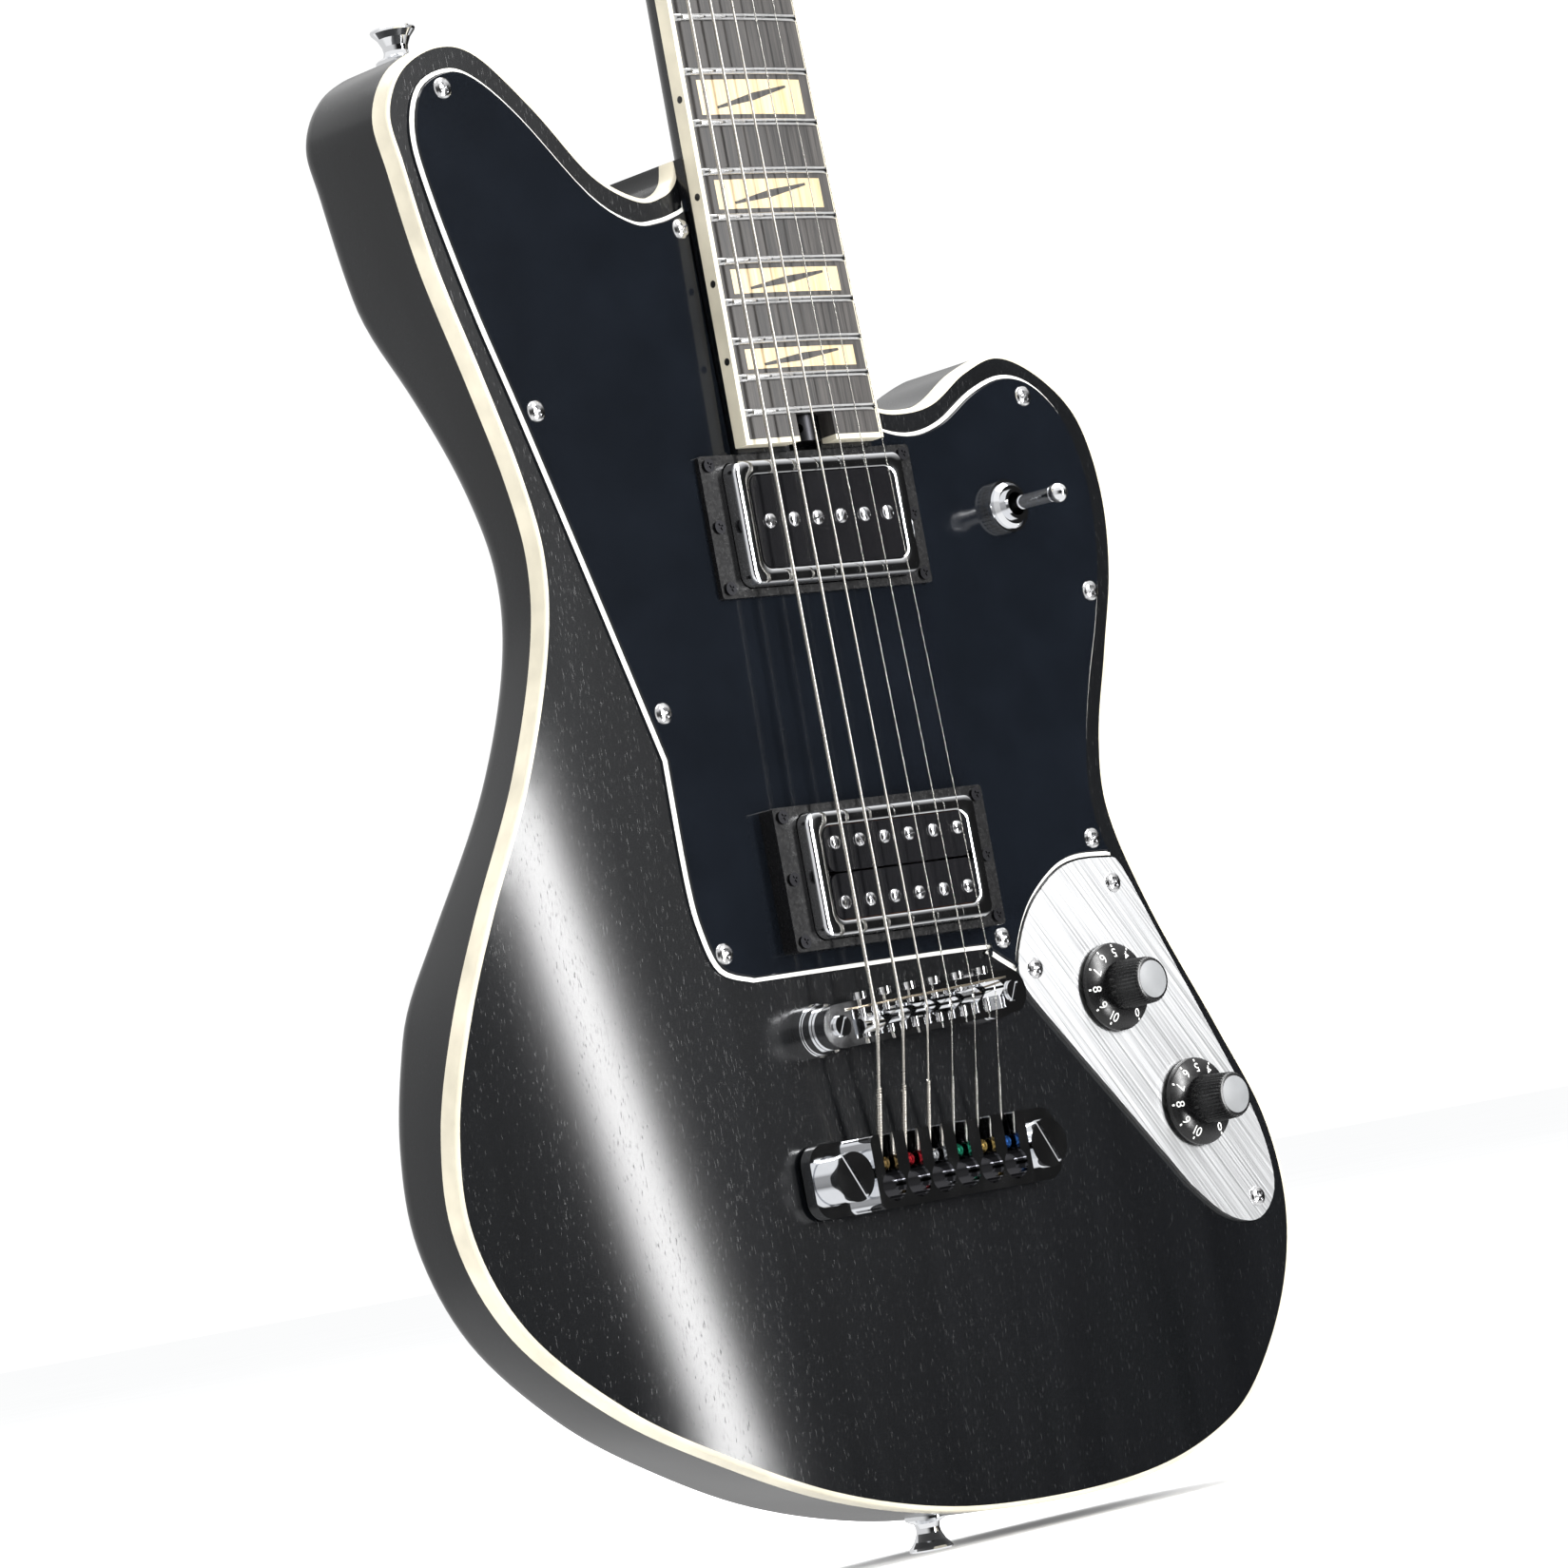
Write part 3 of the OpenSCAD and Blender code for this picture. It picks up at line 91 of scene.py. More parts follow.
def fret_z(n):
    return SCALE_LENGTH / 2 ** (n / 12)


LAST_Z = fret_z(FRETS)
NUT_Z = SCALE_LENGTH - LAST_Z
HEEL_END = LAST_Z - 11.4


def board_half(z):
    return 28.9 - z * 7.4 / NUT_Z


def lean(x, y, z, angle):
    return x, y * math.cos(angle) + z * math.sin(angle), z * math.cos(angle) - y * math.sin(angle)


def neck_at(x, y, z):
    """y is behind the crown of the frets, z above the last fret."""
    x, y, z = lean(x, y, z, NECK_ANGLE)
    return at(x, LAST_FRET_H - y, LAST_Z + z)


def head_at(x, y, z):
    """y is behind the face of the head, z above the back of the nut."""
    x, y, z = lean(x, y, z, HEAD_ANGLE)
    return neck_at(x, y + HEAD_FACE, z + NUT_Z + NUT_L)


BRIDGE_DROP = 5.1
BRIDGE_SLANT = math.radians(2.2)


def bridge_at(x, h, z):
    c, s = math.cos(BRIDGE_SLANT), math.sin(BRIDGE_SLANT)
    return at(x * c - z * s, h, x * s + z * c - BRIDGE_DROP)


# ---- Outlines, as x and z: the CAD's few points ----
BODY_POINTS = [
    (-28.6, 263), (-30.5, 257), (-36, 253.2), (-46, 252), (-62, 260), (-80, 280), (-99, 297),
    (-114, 300), (-130, 293), (-138.5, 279), (-136.5, 262), (-131, 232), (-121, 198),
    (-113, 168), (-110, 143), (-115, 117), (-130, 80), (-149, 43), (-162, 11), (-170, -20),
    (-170, -50), (-157, -80), (-130, -107), (-100, -126), (-61, -144), (-15, -156), (33, -160),
    (75, -158.5), (106, -151), (127, -138.5), (147, -113), (156.5, -85), (154, -55), (140, -24),
    (120, 16), (109, 48), (111, 72), (121, 100), (130, 126), (133, 152), (128, 176), (114, 191),
    (96, 198.5), (79, 194), (62, 184.5), (46, 182.2), (35, 184.5), (30, 189), (28.6, 195)]
GUARD_PATHS = [
    [(-27.5, 249.5), (-32, 247.2), (-41, 244.8), (-51, 244.8), (-66, 253.5), (-88, 277.5),
     (-103, 289.5), (-114, 292), (-126, 286.5), (-131.5, 273), (-129.5, 254.7), (-120.6, 220.1),
     (-109.5, 185.3), (-93.5, 132.8), (-77.7, 79.8)],
    [(-77.7, 79.8), (-77.8, 45), (-76, 28), (-70.5, 15), (-57.5, 10.6)],
    [(-57.5, 10.6), (33.3, 10.7), (40.7, 9.5), (46.5, 6), (52.8, 2.2)],
    [(52.8, 2.2), (54.6, 8.6), (59.7, 17.7), (66.8, 25.3), (78, 32.4), (89, 34.9), (104, 34.5)],
    [(104, 34.5), (100.7, 46), (100.2, 58), (103, 72), (109, 90), (117, 109), (122.5, 126),
     (125.2, 145), (124, 162), (118, 178), (107, 188.5), (94, 191.5), (79, 187), (63, 178),
     (50, 174.8), (38, 176.5), (30.5, 181.5)]]
HEAD_POINTS = [(21.4, -4), (22, 4), (27, 16), (36, 32), (39.5, 46), (38.5, 90), (36, 130),
               (36.5, 148), (32, 158), (18, 163), (0, 160)]
GUARD_SCREWS = [(-117.2, 285.4), (-32.5, 241.2), (-103.6, 187.2), (-75.2, 93.9), (-68.4, 20.4),
                (48, 13.4), (95.5, 40.7), (115.5, 119.5), (101.5, 183.8)]
VOLUME_AT = (92.7, -7)
TONE_AT = (120.3, -47)
TOGGLE_AT = (82.6, 148.3)
NECK_PICKUP = (148.3, 9.8)
BRIDGE_PICKUP = (39.3, 13.4)
COVER_W, COVER_L, COVER_R = 71.5, 38.5, 4
WINDOW_W, WINDOW_L = 61, 29


def smooth_path(points, steps):
    """Catmull-Rom curve through the points."""
    last = len(points) - 1
    path = []
    for i in range(last):
        a, b, c, d = (np.array(points[max(0, min(last, i + k))], float) for k in (-1, 0, 1, 2))
        for t in (k / steps for k in range(steps)):
            path.append(0.5 * (2 * b + (c - a) * t + (2 * a - 5 * b + 4 * c - d) * t * t
                               + (3 * b - a - 3 * c + d) * t ** 3))
    return np.array(path + [np.array(points[last], float)])


def joined(paths, steps):
    """One closed outline from paths that start where the last one ended."""
    return np.vstack([smooth_path(p, steps)[:-1] for p in paths]
                     + ([] if paths[-1][-1] == paths[0][0] else [np.array([paths[-1][-1]])]))


def moved_across(path, chord, distance):
    """The path moved square to its chords; distance may differ from point to point."""
    normal = np.stack([-chord[:, 1], chord[:, 0]], 1)
    normal /= np.linalg.norm(normal, axis=1)[:, None]
    return path + np.asarray(distance).reshape(-1, 1) * normal


def inset(path, distance):
    """The closed path moved inwards."""
    return moved_across(path, np.roll(path, -1, 0) - np.roll(path, 1, 0), distance)


def open_inset(path, distance):
    """As inset, for a path whose ends aren't joined."""
    return moved_across(path, np.gradient(path, axis=0), distance)


def inside(points, loop):
    """Which of the points lie inside the loop."""
    points, loop = np.asarray(points, float), np.asarray(loop, float)
    x, y = points[:, 0, None], points[:, 1, None]
    x0, y0 = loop[:, 0], loop[:, 1]
    x1, y1 = np.roll(x0, -1), np.roll(y0, -1)
    with np.errstate(divide="ignore", invalid="ignore"):
        crossed = ((y0 > y) != (y1 > y)) & (x < (x1 - x0) * (y - y0) / (y1 - y0) + x0)
    return crossed.sum(1) % 2 == 1


def fill(loop, holes=(), extra=()):
    """Triangles over a loop, less its holes, through the extra points inside it."""
    points, edges = [], []
    for ring in [loop, *holes]:
        start = len(points)
        points += [tuple(p) for p in ring]
        edges += [(start + i, start + (i + 1) % len(ring)) for i in range(len(ring))]
    points += [tuple(p) for p in extra]
    given = np.array(points)
    corners, _, faces, origins, _, _ = delaunay_2d_cdt([Vector(p) for p in points], edges, [], 0,
                                                       1e-6)
    # A corner that no given point became, where two edges cross, takes the nearest one.
    source = [origin[0] if origin else int(np.hypot(*(given - corner).T).argmin())
              for corner, origin in zip(corners, origins)]
    triangles = np.array([[source[v] for v in face] for face in faces])
    middles = given[triangles].mean(1)
    keep = inside(middles, loop)
    for hole in holes:
        keep &= ~inside(middles, hole)
    return triangles[keep].tolist()


def round_rect(w, l, r, steps=6, middle=(0, 0)):
    """Corners of a rounded rectangle, anticlockwise."""
    path = []
    for k, (sx, sz) in enumerate([(1, 1), (-1, 1), (-1, -1), (1, -1)]):
        for i in range(steps + 1):
            angle = math.radians(90 * (k + i / steps))
            path.append((middle[0] + sx * (w / 2 - r) + r * math.cos(angle),
                         middle[1] + sz * (l / 2 - r) + r * math.sin(angle)))
    return np.array(path)


def circle(r, middle=(0, 0), sides=32):
    return np.array([(middle[0] + r * math.cos(2 * math.pi * k / sides),
                      middle[1] + r * math.sin(2 * math.pi * k / sides)) for k in range(sides)])


# ---- Mesh building ----
class Shape:
    """The vertices and faces of one piece, gathered from several shapes."""

    def __init__(self):
        self.verts, self.faces = [], []

    def add(self, verts, faces):
        start = len(self.verts)
        self.verts += [tuple(v) for v in verts]
        self.faces += [[start + i for i in face] for face in faces]

    def loft(self, loops, caps=True):
        """A skin over loops of equal length; caps closes both ends."""
        n = len(loops[0])
        faces = [[k * n + i, k * n + (i + 1) % n, (k + 1) * n + (i + 1) % n, (k + 1) * n + i]
                 for k in range(len(loops) - 1) for i in range(n)]
        if caps:
            faces += [list(range(n))[::-1], [(len(loops) - 1) * n + i for i in range(n)]]
        self.add([v for loop in loops for v in loop], faces)

    def ring(self, loops):
        """A skin over loops that closes on itself, such as a frame's section."""
        self.loft(list(loops) + [loops[0]], caps=False)

    def slab(self, outline, profile, holes=(), place=at):
        """A plate with an outline. The profile gives (inset, height) from the back to the front."""
        loops = [[place(x, h, z) for x, z in inset(outline, d)] for d, h in profile]
        if not len(holes):
            self.loft(loops)
            return
        self.loft(loops, caps=False)
        for k, (d, h) in ((0, profile[0]), (-1, profile[-1])):
            ring = inset(outline, d)
            points = np.vstack([ring, *holes])
            self.add([place(x, h, z) for x, z in points], fill(ring, holes))
        for hole in holes:
            self.loft([[place(x, h, z) for x, z in hole]
                       for h in (profile[0][1], profile[-1][1])], caps=False)

    def lathe(self, profile, origin, axis, sides=48):
        """Turns a profile of (radius, way along the axis) round the axis; ends at radius 0."""
        axis = axis.normalized()
        across = axis.orthogonal().normalized()
        over = axis.cross(across)
        loops = [[origin + MM * (t * axis + r * (math.cos(a) * across + math.sin(a) * over))
                  for a in (2 * math.pi * k / sides for k in range(sides))] for r, t in profile]
        self.loft(loops)

    def tube(self, points, radii, sides=12):
        """A round tube along the points, each with its own radius in millimetres."""
        points = [Vector(p) for p in points]
        radii = radii if hasattr(radii, "__len__") else [radii] * len(points)
        side, loops = None, []
        for i, p in enumerate(points):
            way = (points[min(i + 1, len(points) - 1)] - points[max(i - 1, 0)]).normalized()
            side = way.orthogonal() if side is None else side - way * side.dot(way)
            side.normalize()
            over = way.cross(side)
            loops.append([p + MM * radii[i] * (math.cos(a) * side + math.sin(a) * over)
                          for a in (2 * math.pi * k / sides for k in range(sides))])
        self.loft(loops)

    def object(self, name):
        mesh = bpy.data.meshes.new(name)
        mesh.from_pydata(self.verts, [], self.faces)
        work = bmesh.new()
        work.from_mesh(mesh)
        bmesh.ops.remove_doubles(work, verts=work.verts, dist=1e-6)
        bmesh.ops.recalc_face_normals(work, faces=work.faces)
        work.to_mesh(mesh)
        work.free()
        made = bpy.data.objects.new(name, mesh)
        bpy.context.scene.collection.objects.link(made)
        return made

    def piece(self, name, material, body="guitar", stands_for=(), crease=35):
        return finished(self.object(name), material, body, stands_for, crease)


def finished(made, material, body="guitar", stands_for=(), crease=35):
    """Shades, paints and hangs a piece on its body."""
    made.data.shade_smooth()
    made.data.set_sharp_from_angle(angle=math.radians(crease))
    made.data.materials.clear()
    made.data.materials.append(material)
    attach(made, body)
    if stands_for:
        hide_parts(*stands_for)
    return made


def combine(target, other, operation="DIFFERENCE"):
    """Cuts the other shape out of the target, or joins it on, and removes it."""
    tool = other.object("tool")
    change = target.modifiers.new("combine", "BOOLEAN")
    change.operation = operation
    change.solver = "MANIFOLD"
    change.object = tool
    bpy.context.view_layer.update()
    seen = target.evaluated_get(bpy.context.evaluated_depsgraph_get())
    mesh = bpy.data.meshes.new_from_object(seen)
    target.modifiers.clear()
    target.data = mesh
    bpy.data.objects.remove(tool)


# ---- Materials ----
def shader(name, **sockets):
    """A Principled material; the sockets' names have _ for a space."""
    made = bpy.data.materials.new(name)
    made.use_nodes = True
    principled = made.node_tree.nodes["Principled BSDF"]
    for socket, value in sockets.items():
        principled.inputs[socket.replace("_", " ")].default_value = value
    return made


def noise(mat, stretch, detail=3, turn=(0, 0, 0), rough=0.5):
    """Noise with this many grains to the metre along x, y and z."""
    tree = mat.node_tree
    where = tree.nodes.new("ShaderNodeTexCoord")
    mapping = tree.nodes.new("ShaderNodeMapping")
    mapping.vector_type = "TEXTURE"
    mapping.inputs["Rotation"].default_value = [math.radians(a) for a in turn]
    mapping.inputs["Scale"].default_value = [1 / s for s in stretch]
    grain = tree.nodes.new("ShaderNodeTexNoise")
    grain.inputs["Scale"].default_value = 1
    grain.inputs["Detail"].default_value = detail
    grain.inputs["Roughness"].default_value = rough
    tree.links.new(where.outputs["Object"], mapping.inputs["Vector"])
    tree.links.new(mapping.outputs["Vector"], grain.inputs["Vector"])
    return grain.outputs["Fac"]


def ramp(mat, value, *stops):
    """Colour ramp; each stop is a place and a colour or a grey."""
    made = mat.node_tree.nodes.new("ShaderNodeValToRGB")
    steps = made.color_ramp.elements
    for k, (place, colour) in enumerate(stops):
        step = steps[k] if k < 2 else steps.new(place)
        step.position = place
        step.color = (*colour, 1) if hasattr(colour, "__len__") else (colour, colour, colour, 1)
    mat.node_tree.links.new(value, made.inputs["Fac"])
    return made.outputs["Color"]


def calc(mat, operation, a, b):
    made = mat.node_tree.nodes.new("ShaderNodeMath")
    made.operation = operation
    for socket, value in zip(made.inputs, (a, b)):
        if isinstance(value, bpy.types.NodeSocket):
            mat.node_tree.links.new(value, socket)
        else:
            socket.default_value = value
    return made.outputs[0]


def drive(mat, socket, value):
    mat.node_tree.links.new(value, mat.node_tree.nodes["Principled BSDF"].inputs[socket])


def bump(mat, height, strength, depth_mm):
    made = mat.node_tree.nodes.new("ShaderNodeBump")
    made.inputs["Strength"].default_value = strength
    made.inputs["Distance"].default_value = depth_mm * MM
    mat.node_tree.links.new(height, made.inputs["Height"])
    drive(mat, "Normal", made.outputs["Normal"])


def ash(name, pores_deep, rough):
    """Black satin over open-pored wood: short dark pores along the neck's direction."""
    mat = shader(name)
    fine = noise(mat, (3200, 3200, 380), 1)
    drift = noise(mat, (60, 60, 6), 3)
    pores = calc(mat, "ADD", fine, calc(mat, "MULTIPLY", calc(mat, "SUBTRACT", drift, 0.5), 0.12))
    surface = ramp(mat, pores, (0.69, 1), (0.76, 0))
    drive(mat, "Base Color", ramp(mat, drift, (0.35, (0.0020, 0.0024, 0.0031)),
                                  (0.7, (0.0038, 0.0043, 0.0052))))
    drive(mat, "Roughness", ramp(mat, pores, (0.62, rough), (0.75, rough + 0.08)))
    bump(mat, surface, pores_deep, 0.05)
    return mat


def gloss(name, colour, rough, speck=0.02):
    """Polished plastic or lacquer, with faint unevenness."""
    mat = shader(name)
    cloud = noise(mat, (60, 60, 60), 4)
    fine = noise(mat, (900, 900, 900), 2)
    drive(mat, "Base Color", ramp(mat, cloud, (0.3, [c * 0.85 for c in colour]),
                                  (0.7, [c * 1.15 for c in colour])))
    drive(mat, "Roughness", ramp(mat, fine, (0.3, rough), (0.75, rough + speck)))
    bump(mat, fine, 0.04, 0.02)
    return mat


METAL_CLOUD = (90, 90, 90)
# Grey painted into the tailpiece's pockets as painted shade.
POCKET_PAINTED_SHADE = (0.22, 0.22, 0.23)


def metal(name, colour, rough, wear=0.05, brushed=None, turn=(0, 0, 0), depth=0.05):
    """Polished metal; brushed gives the grains to the metre along x, y and z."""
    mat = shader(name, Metallic=1.0)
    if brushed:
        lines = noise(mat, brushed, 3, turn, 0.6)
        drive(mat, "Base Color", ramp(mat, lines, (0.35, [c * 0.74 for c in colour]),
                                      (0.65, colour)))
        drive(mat, "Roughness", ramp(mat, lines, (0.3, rough), (0.7, rough + wear)))
        bump(mat, lines, 0.35, depth)
    else:
        cloud = noise(mat, METAL_CLOUD, 4)
        drive(mat, "Base Color", ramp(mat, cloud, (0.3, [c * 0.95 for c in colour]), (0.7, colour)))
        drive(mat, "Roughness", ramp(mat, cloud, (0.35, rough), (0.75, rough + wear)))
    return mat


def pocketed(name, colour, middle, half):
    """Polished metal with painted shade: darker in the pockets, which lie within half of the middle."""
    mat = metal(name, colour, 0.045)
    where = mat.node_tree.nodes.new("ShaderNodeTexCoord")
    parts = mat.node_tree.nodes.new("ShaderNodeSeparateXYZ")
    mat.node_tree.links.new(where.outputs["Object"], parts.inputs[0])
    in_shaded_pocket = 1
    for axis in range(3):
        away = calc(mat, "ABSOLUTE", calc(mat, "SUBTRACT", parts.outputs[axis], middle[axis]), 0)
        in_shaded_pocket = calc(mat, "MULTIPLY", calc(mat, "LESS_THAN", away, half[axis]), in_shaded_pocket)
    cloud = calc(mat, "MULTIPLY", noise(mat, METAL_CLOUD, 4), 0.3)
    # Inside the pockets the colour turns to the grey of the painted shade.
    drive(mat, "Base Color", ramp(mat, calc(mat, "ADD", cloud, in_shaded_pocket),
                                  (0.09, [c * 0.95 for c in colour]), (0.21, colour),
                                  (0.6, colour), (0.9, POCKET_PAINTED_SHADE)))
    return mat


def streaked_wood(name, dark, light, stretch, rough):
    """Bare wood with streaks this many to the metre, in wider bands six times as coarse."""
    mat = shader(name)
    lines = noise(mat, stretch, 5, rough=0.65)
    wide = noise(mat, [s / 6 for s in stretch], 2)
    mixed = calc(mat, "ADD", calc(mat, "MULTIPLY", lines, 0.7), calc(mat, "MULTIPLY", wide, 0.3))
    drive(mat, "Base Color", ramp(mat, mixed, (0.38, dark), (0.62, light)))
    drive(mat, "Roughness", ramp(mat, lines, (0.35, rough), (0.7, rough + 0.15)))
    bump(mat, lines, 0.2, 0.06)
    return mat


def wound(name, colour, turns, rough):
    """Wound string: fine ridges across its length, with painted shade darkening the grooves between them.
    """
    mat = shader(name, Metallic=1.0)
    where = mat.node_tree.nodes.new("ShaderNodeTexCoord")
    ridges = mat.node_tree.nodes.new("ShaderNodeTexWave")
    ridges.bands_direction = "Z"
    ridges.inputs["Scale"].default_value = turns
    mat.node_tree.links.new(where.outputs["Object"], ridges.inputs["Vector"])
    # The grooves between the ridges are painted darker: painted shade.
    drive(mat, "Base Color", ramp(mat, ridges.outputs["Fac"], (0.1, [c * 0.85 for c in colour]),
                                  (0.6, colour)))
    drive(mat, "Roughness", ramp(mat, noise(mat, (400, 400, 400)), (0.3, rough), (0.7, rough + 0.1)))
    bump(mat, ridges.outputs["Fac"], 0.06, 0.05)
    return mat


PLATE_TURN = (0, -34.6, 0)
BLACK_ASH = ash("black_ash", 0.13, 0.2)
BLACK_NECK = ash("black_neck", 0.1, 0.22)
CREAM = gloss("cream_binding", (0.54, 0.50, 0.395), 0.3)
BOARD_WOOD = streaked_wood("board_wood", (0.008, 0.0075, 0.0075), (0.06, 0.054, 0.05),
                           (1300, 1300, 26), 0.45)
MAPLE = streaked_wood("maple_inlay", (0.46, 0.34, 0.18), (0.62, 0.50, 0.32), (500, 500, 22), 0.3)
FRET_WIRE = metal("fret_wire", (0.80, 0.80, 0.80), 0.16, brushed=(60, 900, 900))
BONE = gloss("bone_nut", (0.78, 0.72, 0.58), 0.35)
CHROME = metal("chrome", (0.86, 0.87, 0.89), 0.045)
# The tailpiece's chrome, with painted shade darkening its string pockets.
CHROME_WITH_POCKET_SHADE = pocketed("tailpiece_chrome_with_painted_pocket_shade", (0.86, 0.87, 0.89), at(0, 6.1, -TAIL_DROP),
                    [d * MM for d in (32.5, 5.1, 10.9)])
SCREW_STEEL = metal("screw_steel", (0.80, 0.80, 0.81), 0.12, brushed=(700, 700, 700))
ROD_STEEL = metal("rod_steel", (0.45, 0.46, 0.48), 0.35)
BLACK_STEEL = metal("black_steel", (0.03, 0.03, 0.033), 0.3)
GUARD_BLACK = gloss("guard_black", (0.0042, 0.0055, 0.008), 0.09, 0.03)
WHITE_PLY = gloss("white_ply", (0.80, 0.79, 0.74), 0.4)
BRUSHED = metal("brushed_plate", (0.86, 0.87, 0.88), 0.3, 0.12, (1400, 1400, 9),
                PLATE_TURN, 0.03)
BLACK_PLASTIC = gloss("black_plastic", (0.005, 0.005, 0.0055), 0.22, 0.08)
BOBBIN_BLACK = gloss("bobbin_black", (0.006, 0.006, 0.007), 0.14)
COPPER = metal("coil_copper", (0.09, 0.04, 0.022), 0.4, brushed=(60, 9000, 60))
POLE_STEEL = metal("pole_steel", (0.82, 0.82, 0.84), 0.13, brushed=(800, 800, 800))
MAGNET = metal("magnet_steel", (0.25, 0.25, 0.26), 0.5)
PLAIN_STRING = metal("plain_string", (0.50, 0.49, 0.46), 0.2, brushed=(900, 900, 900))
WOUND_STRING = wound("wound_string", (0.60, 0.57, 0.52), 320, 0.26)
POT_METAL = metal("pot_metal", (0.55, 0.56, 0.58), 0.3)
KNOB_BLACK = gloss("knob_black", (0.005, 0.005, 0.0055), 0.24, 0.06)
KNOB_DISC = gloss("knob_disc", (0.19, 0.195, 0.20), 0.42, 0.06)
NUMERAL = gloss("white_numerals", (0.82, 0.82, 0.80), 0.45)
BRONZE = metal("bronze_wire", (0.34, 0.29, 0.22), 0.25)
DOT_BLACK = gloss("dot_black", (0.008, 0.008, 0.008), 0.35)


def paint(names, material):
    for name in names.split():
        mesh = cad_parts[name].data
        mesh.materials.clear()
        mesh.materials.append(material)


paint("fretboard", BOARD_WOOD)
paint("fretboard_binding", CREAM)
paint("inlays", MAPLE)
paint("nut", BONE)
paint("truss_rod", ROD_STEEL)
paint("truss_wheel", BLACK_STEEL)
# The tailpiece's pockets carry painted shade.
paint("tailpiece", CHROME_WITH_POCKET_SHADE)
paint("neck_plate strap_buttons jack_plate tailpiece_studs bridge_base bridge_posts", CHROME)
paint("stud_bushings toggle_lever toggle_switch tuner_housings pickup_covers", CHROME)
paint("control_plate", BRUSHED)
paint("plate_screws wood_screws intonation_screws output_jack", SCREW_STEEL)
paint("pickup_coils", COPPER)
paint("pickup_magnets", MAGNET)
paint("pickup_rings", BLACK_PLASTIC)
paint("pickup_bobbins", BOBBIN_BLACK)
paint("pickup_screws", BLACK_STEEL)
paint("pots volume_shaft tone_shaft", POT_METAL)
for n in range(1, 7):
    paint(f"saddle_{n} tuner_button_{n} tuner_post_{n}", CHROME)


# ---- Body: bevelled front, rounded back edge and rib scoop ----
BINDING_T, BINDING_H = 1.6, 6.5
BACK_ROUND, LEAST_ROUND = 8, 0.8
CREASE_TOP, CREASE_LOW = np.array((-117.0, 110.0)), np.array((-58.0, -146.0))
ROLL, SLOPE = 56, math.radians(14)
SCOOP_R, SCOOP_DEPTH, SCOOP_AT = 252, 22, (-150, 122)
GRID = 7
POCKET_FLOOR = -15.1
CAVITY_FLOOR = -24


def forearm_drop(x, z):
    """How far the bevelled front lies behind the flat top."""
    way = (CREASE_LOW - CREASE_TOP) / np.linalg.norm(CREASE_LOW - CREASE_TOP)
    out = (x - CREASE_TOP[0]) * way[1] - (z - CREASE_TOP[1]) * way[0]
    radius = ROLL / math.sin(SLOPE)
    if out <= 0:
        return 0
    if out < ROLL:
        return radius - math.sqrt(radius ** 2 - out ** 2)
    return radius * (1 - math.cos(SLOPE)) + (out - ROLL) * math.tan(SLOPE)


def back_depth(x, z):
    """Depth of the back, with the scoop's rim blended in."""
    rest = SCOOP_R ** 2 - (x - SCOOP_AT[0]) ** 2 - (z - SCOOP_AT[1]) ** 2
    scoop = BODY_T - SCOOP_DEPTH + SCOOP_R - math.sqrt(max(rest, 0))
    blend = 4
    near = max(blend - abs(BODY_T - scoop), 0) / blend
    return min(BODY_T, scoop) - near * near * blend / 4


def grid_inside(loop):
    """Points of a square grid that lie well inside the loop."""
    low, high = loop.min(0), loop.max(0)
    grid = np.stack(np.meshgrid(np.arange(low[0], high[0], GRID),
                                np.arange(low[1], high[1], GRID)), -1).reshape(-1, 2)
    return grid[inside(grid, inset(loop, 0.45 * GRID))]


def front_at(x, z, drop=0):
    return at(x, -forearm_drop(x, z) - drop, z)


body_path = smooth_path(BODY_POINTS, 8)
binding_path = open_inset(body_path, BINDING_T)


def body_blank():
    shape = Shape()
    share = np.clip((abs(body_path[:, 0]) - 34) / 22, 0, 1)
    share[body_path[:, 1] < 150] = 1
    radius = LEAST_ROUND + (BACK_ROUND - LEAST_ROUND) * share
    loops = [[front_at(x, z) for x, z in binding_path],
             [front_at(x, z, BINDING_H) for x, z in binding_path],
             [front_at(x, z, BINDING_H) for x, z in body_path]]
    for angle in (math.radians(15 * k) for k in range(7)):
        ring = inset(body_path, radius * (1 - math.cos(angle)) * (share > 0))
        loops.append([at(x, r * (1 - math.sin(angle)) - back_depth(x, z), z)
                      for (x, z), r in zip(ring, radius)])
    shape.loft(loops, caps=False)
    for outline, place in ((binding_path, front_at),
                           (ring, lambda x, z: at(x, -back_depth(x, z), z))):
        extra = grid_inside(outline)
        shape.add([place(x, z) for x, z in np.vstack([outline, extra])],
                  fill(outline, extra=extra))
    return shape.object("guitar_body")


def cylinder(shape, r, start, end, sides=48):
    length = (end - start).length / MM
    shape.lathe([(0, 0), (r, 0), (r, length), (0, length)], start, end - start, sides)


def rounded(w, l, r, z):
    return round_rect(w, l, r, middle=(0, z))


JACK_Z = -76
JACK_SEAT_X = 153.5
LOW_SEAT_Z, HIGH_SEAT_Z, HORN_X = -156.4, 299, -111.5
HALF_T = -BODY_T / 2
BRIDGE_POSTS, TAIL_STUDS = 74, 83
POT_HOLE_R, SWITCH_HOLE_R, POST_HOLE_R, STUD_HOLE_R = 15, 17, 5.6, 6.1
JACK_SEAT_R, BUTTON_SEAT_R, TUNNEL_R = 14.1, 6.8, 9
PAST_TOP = 6


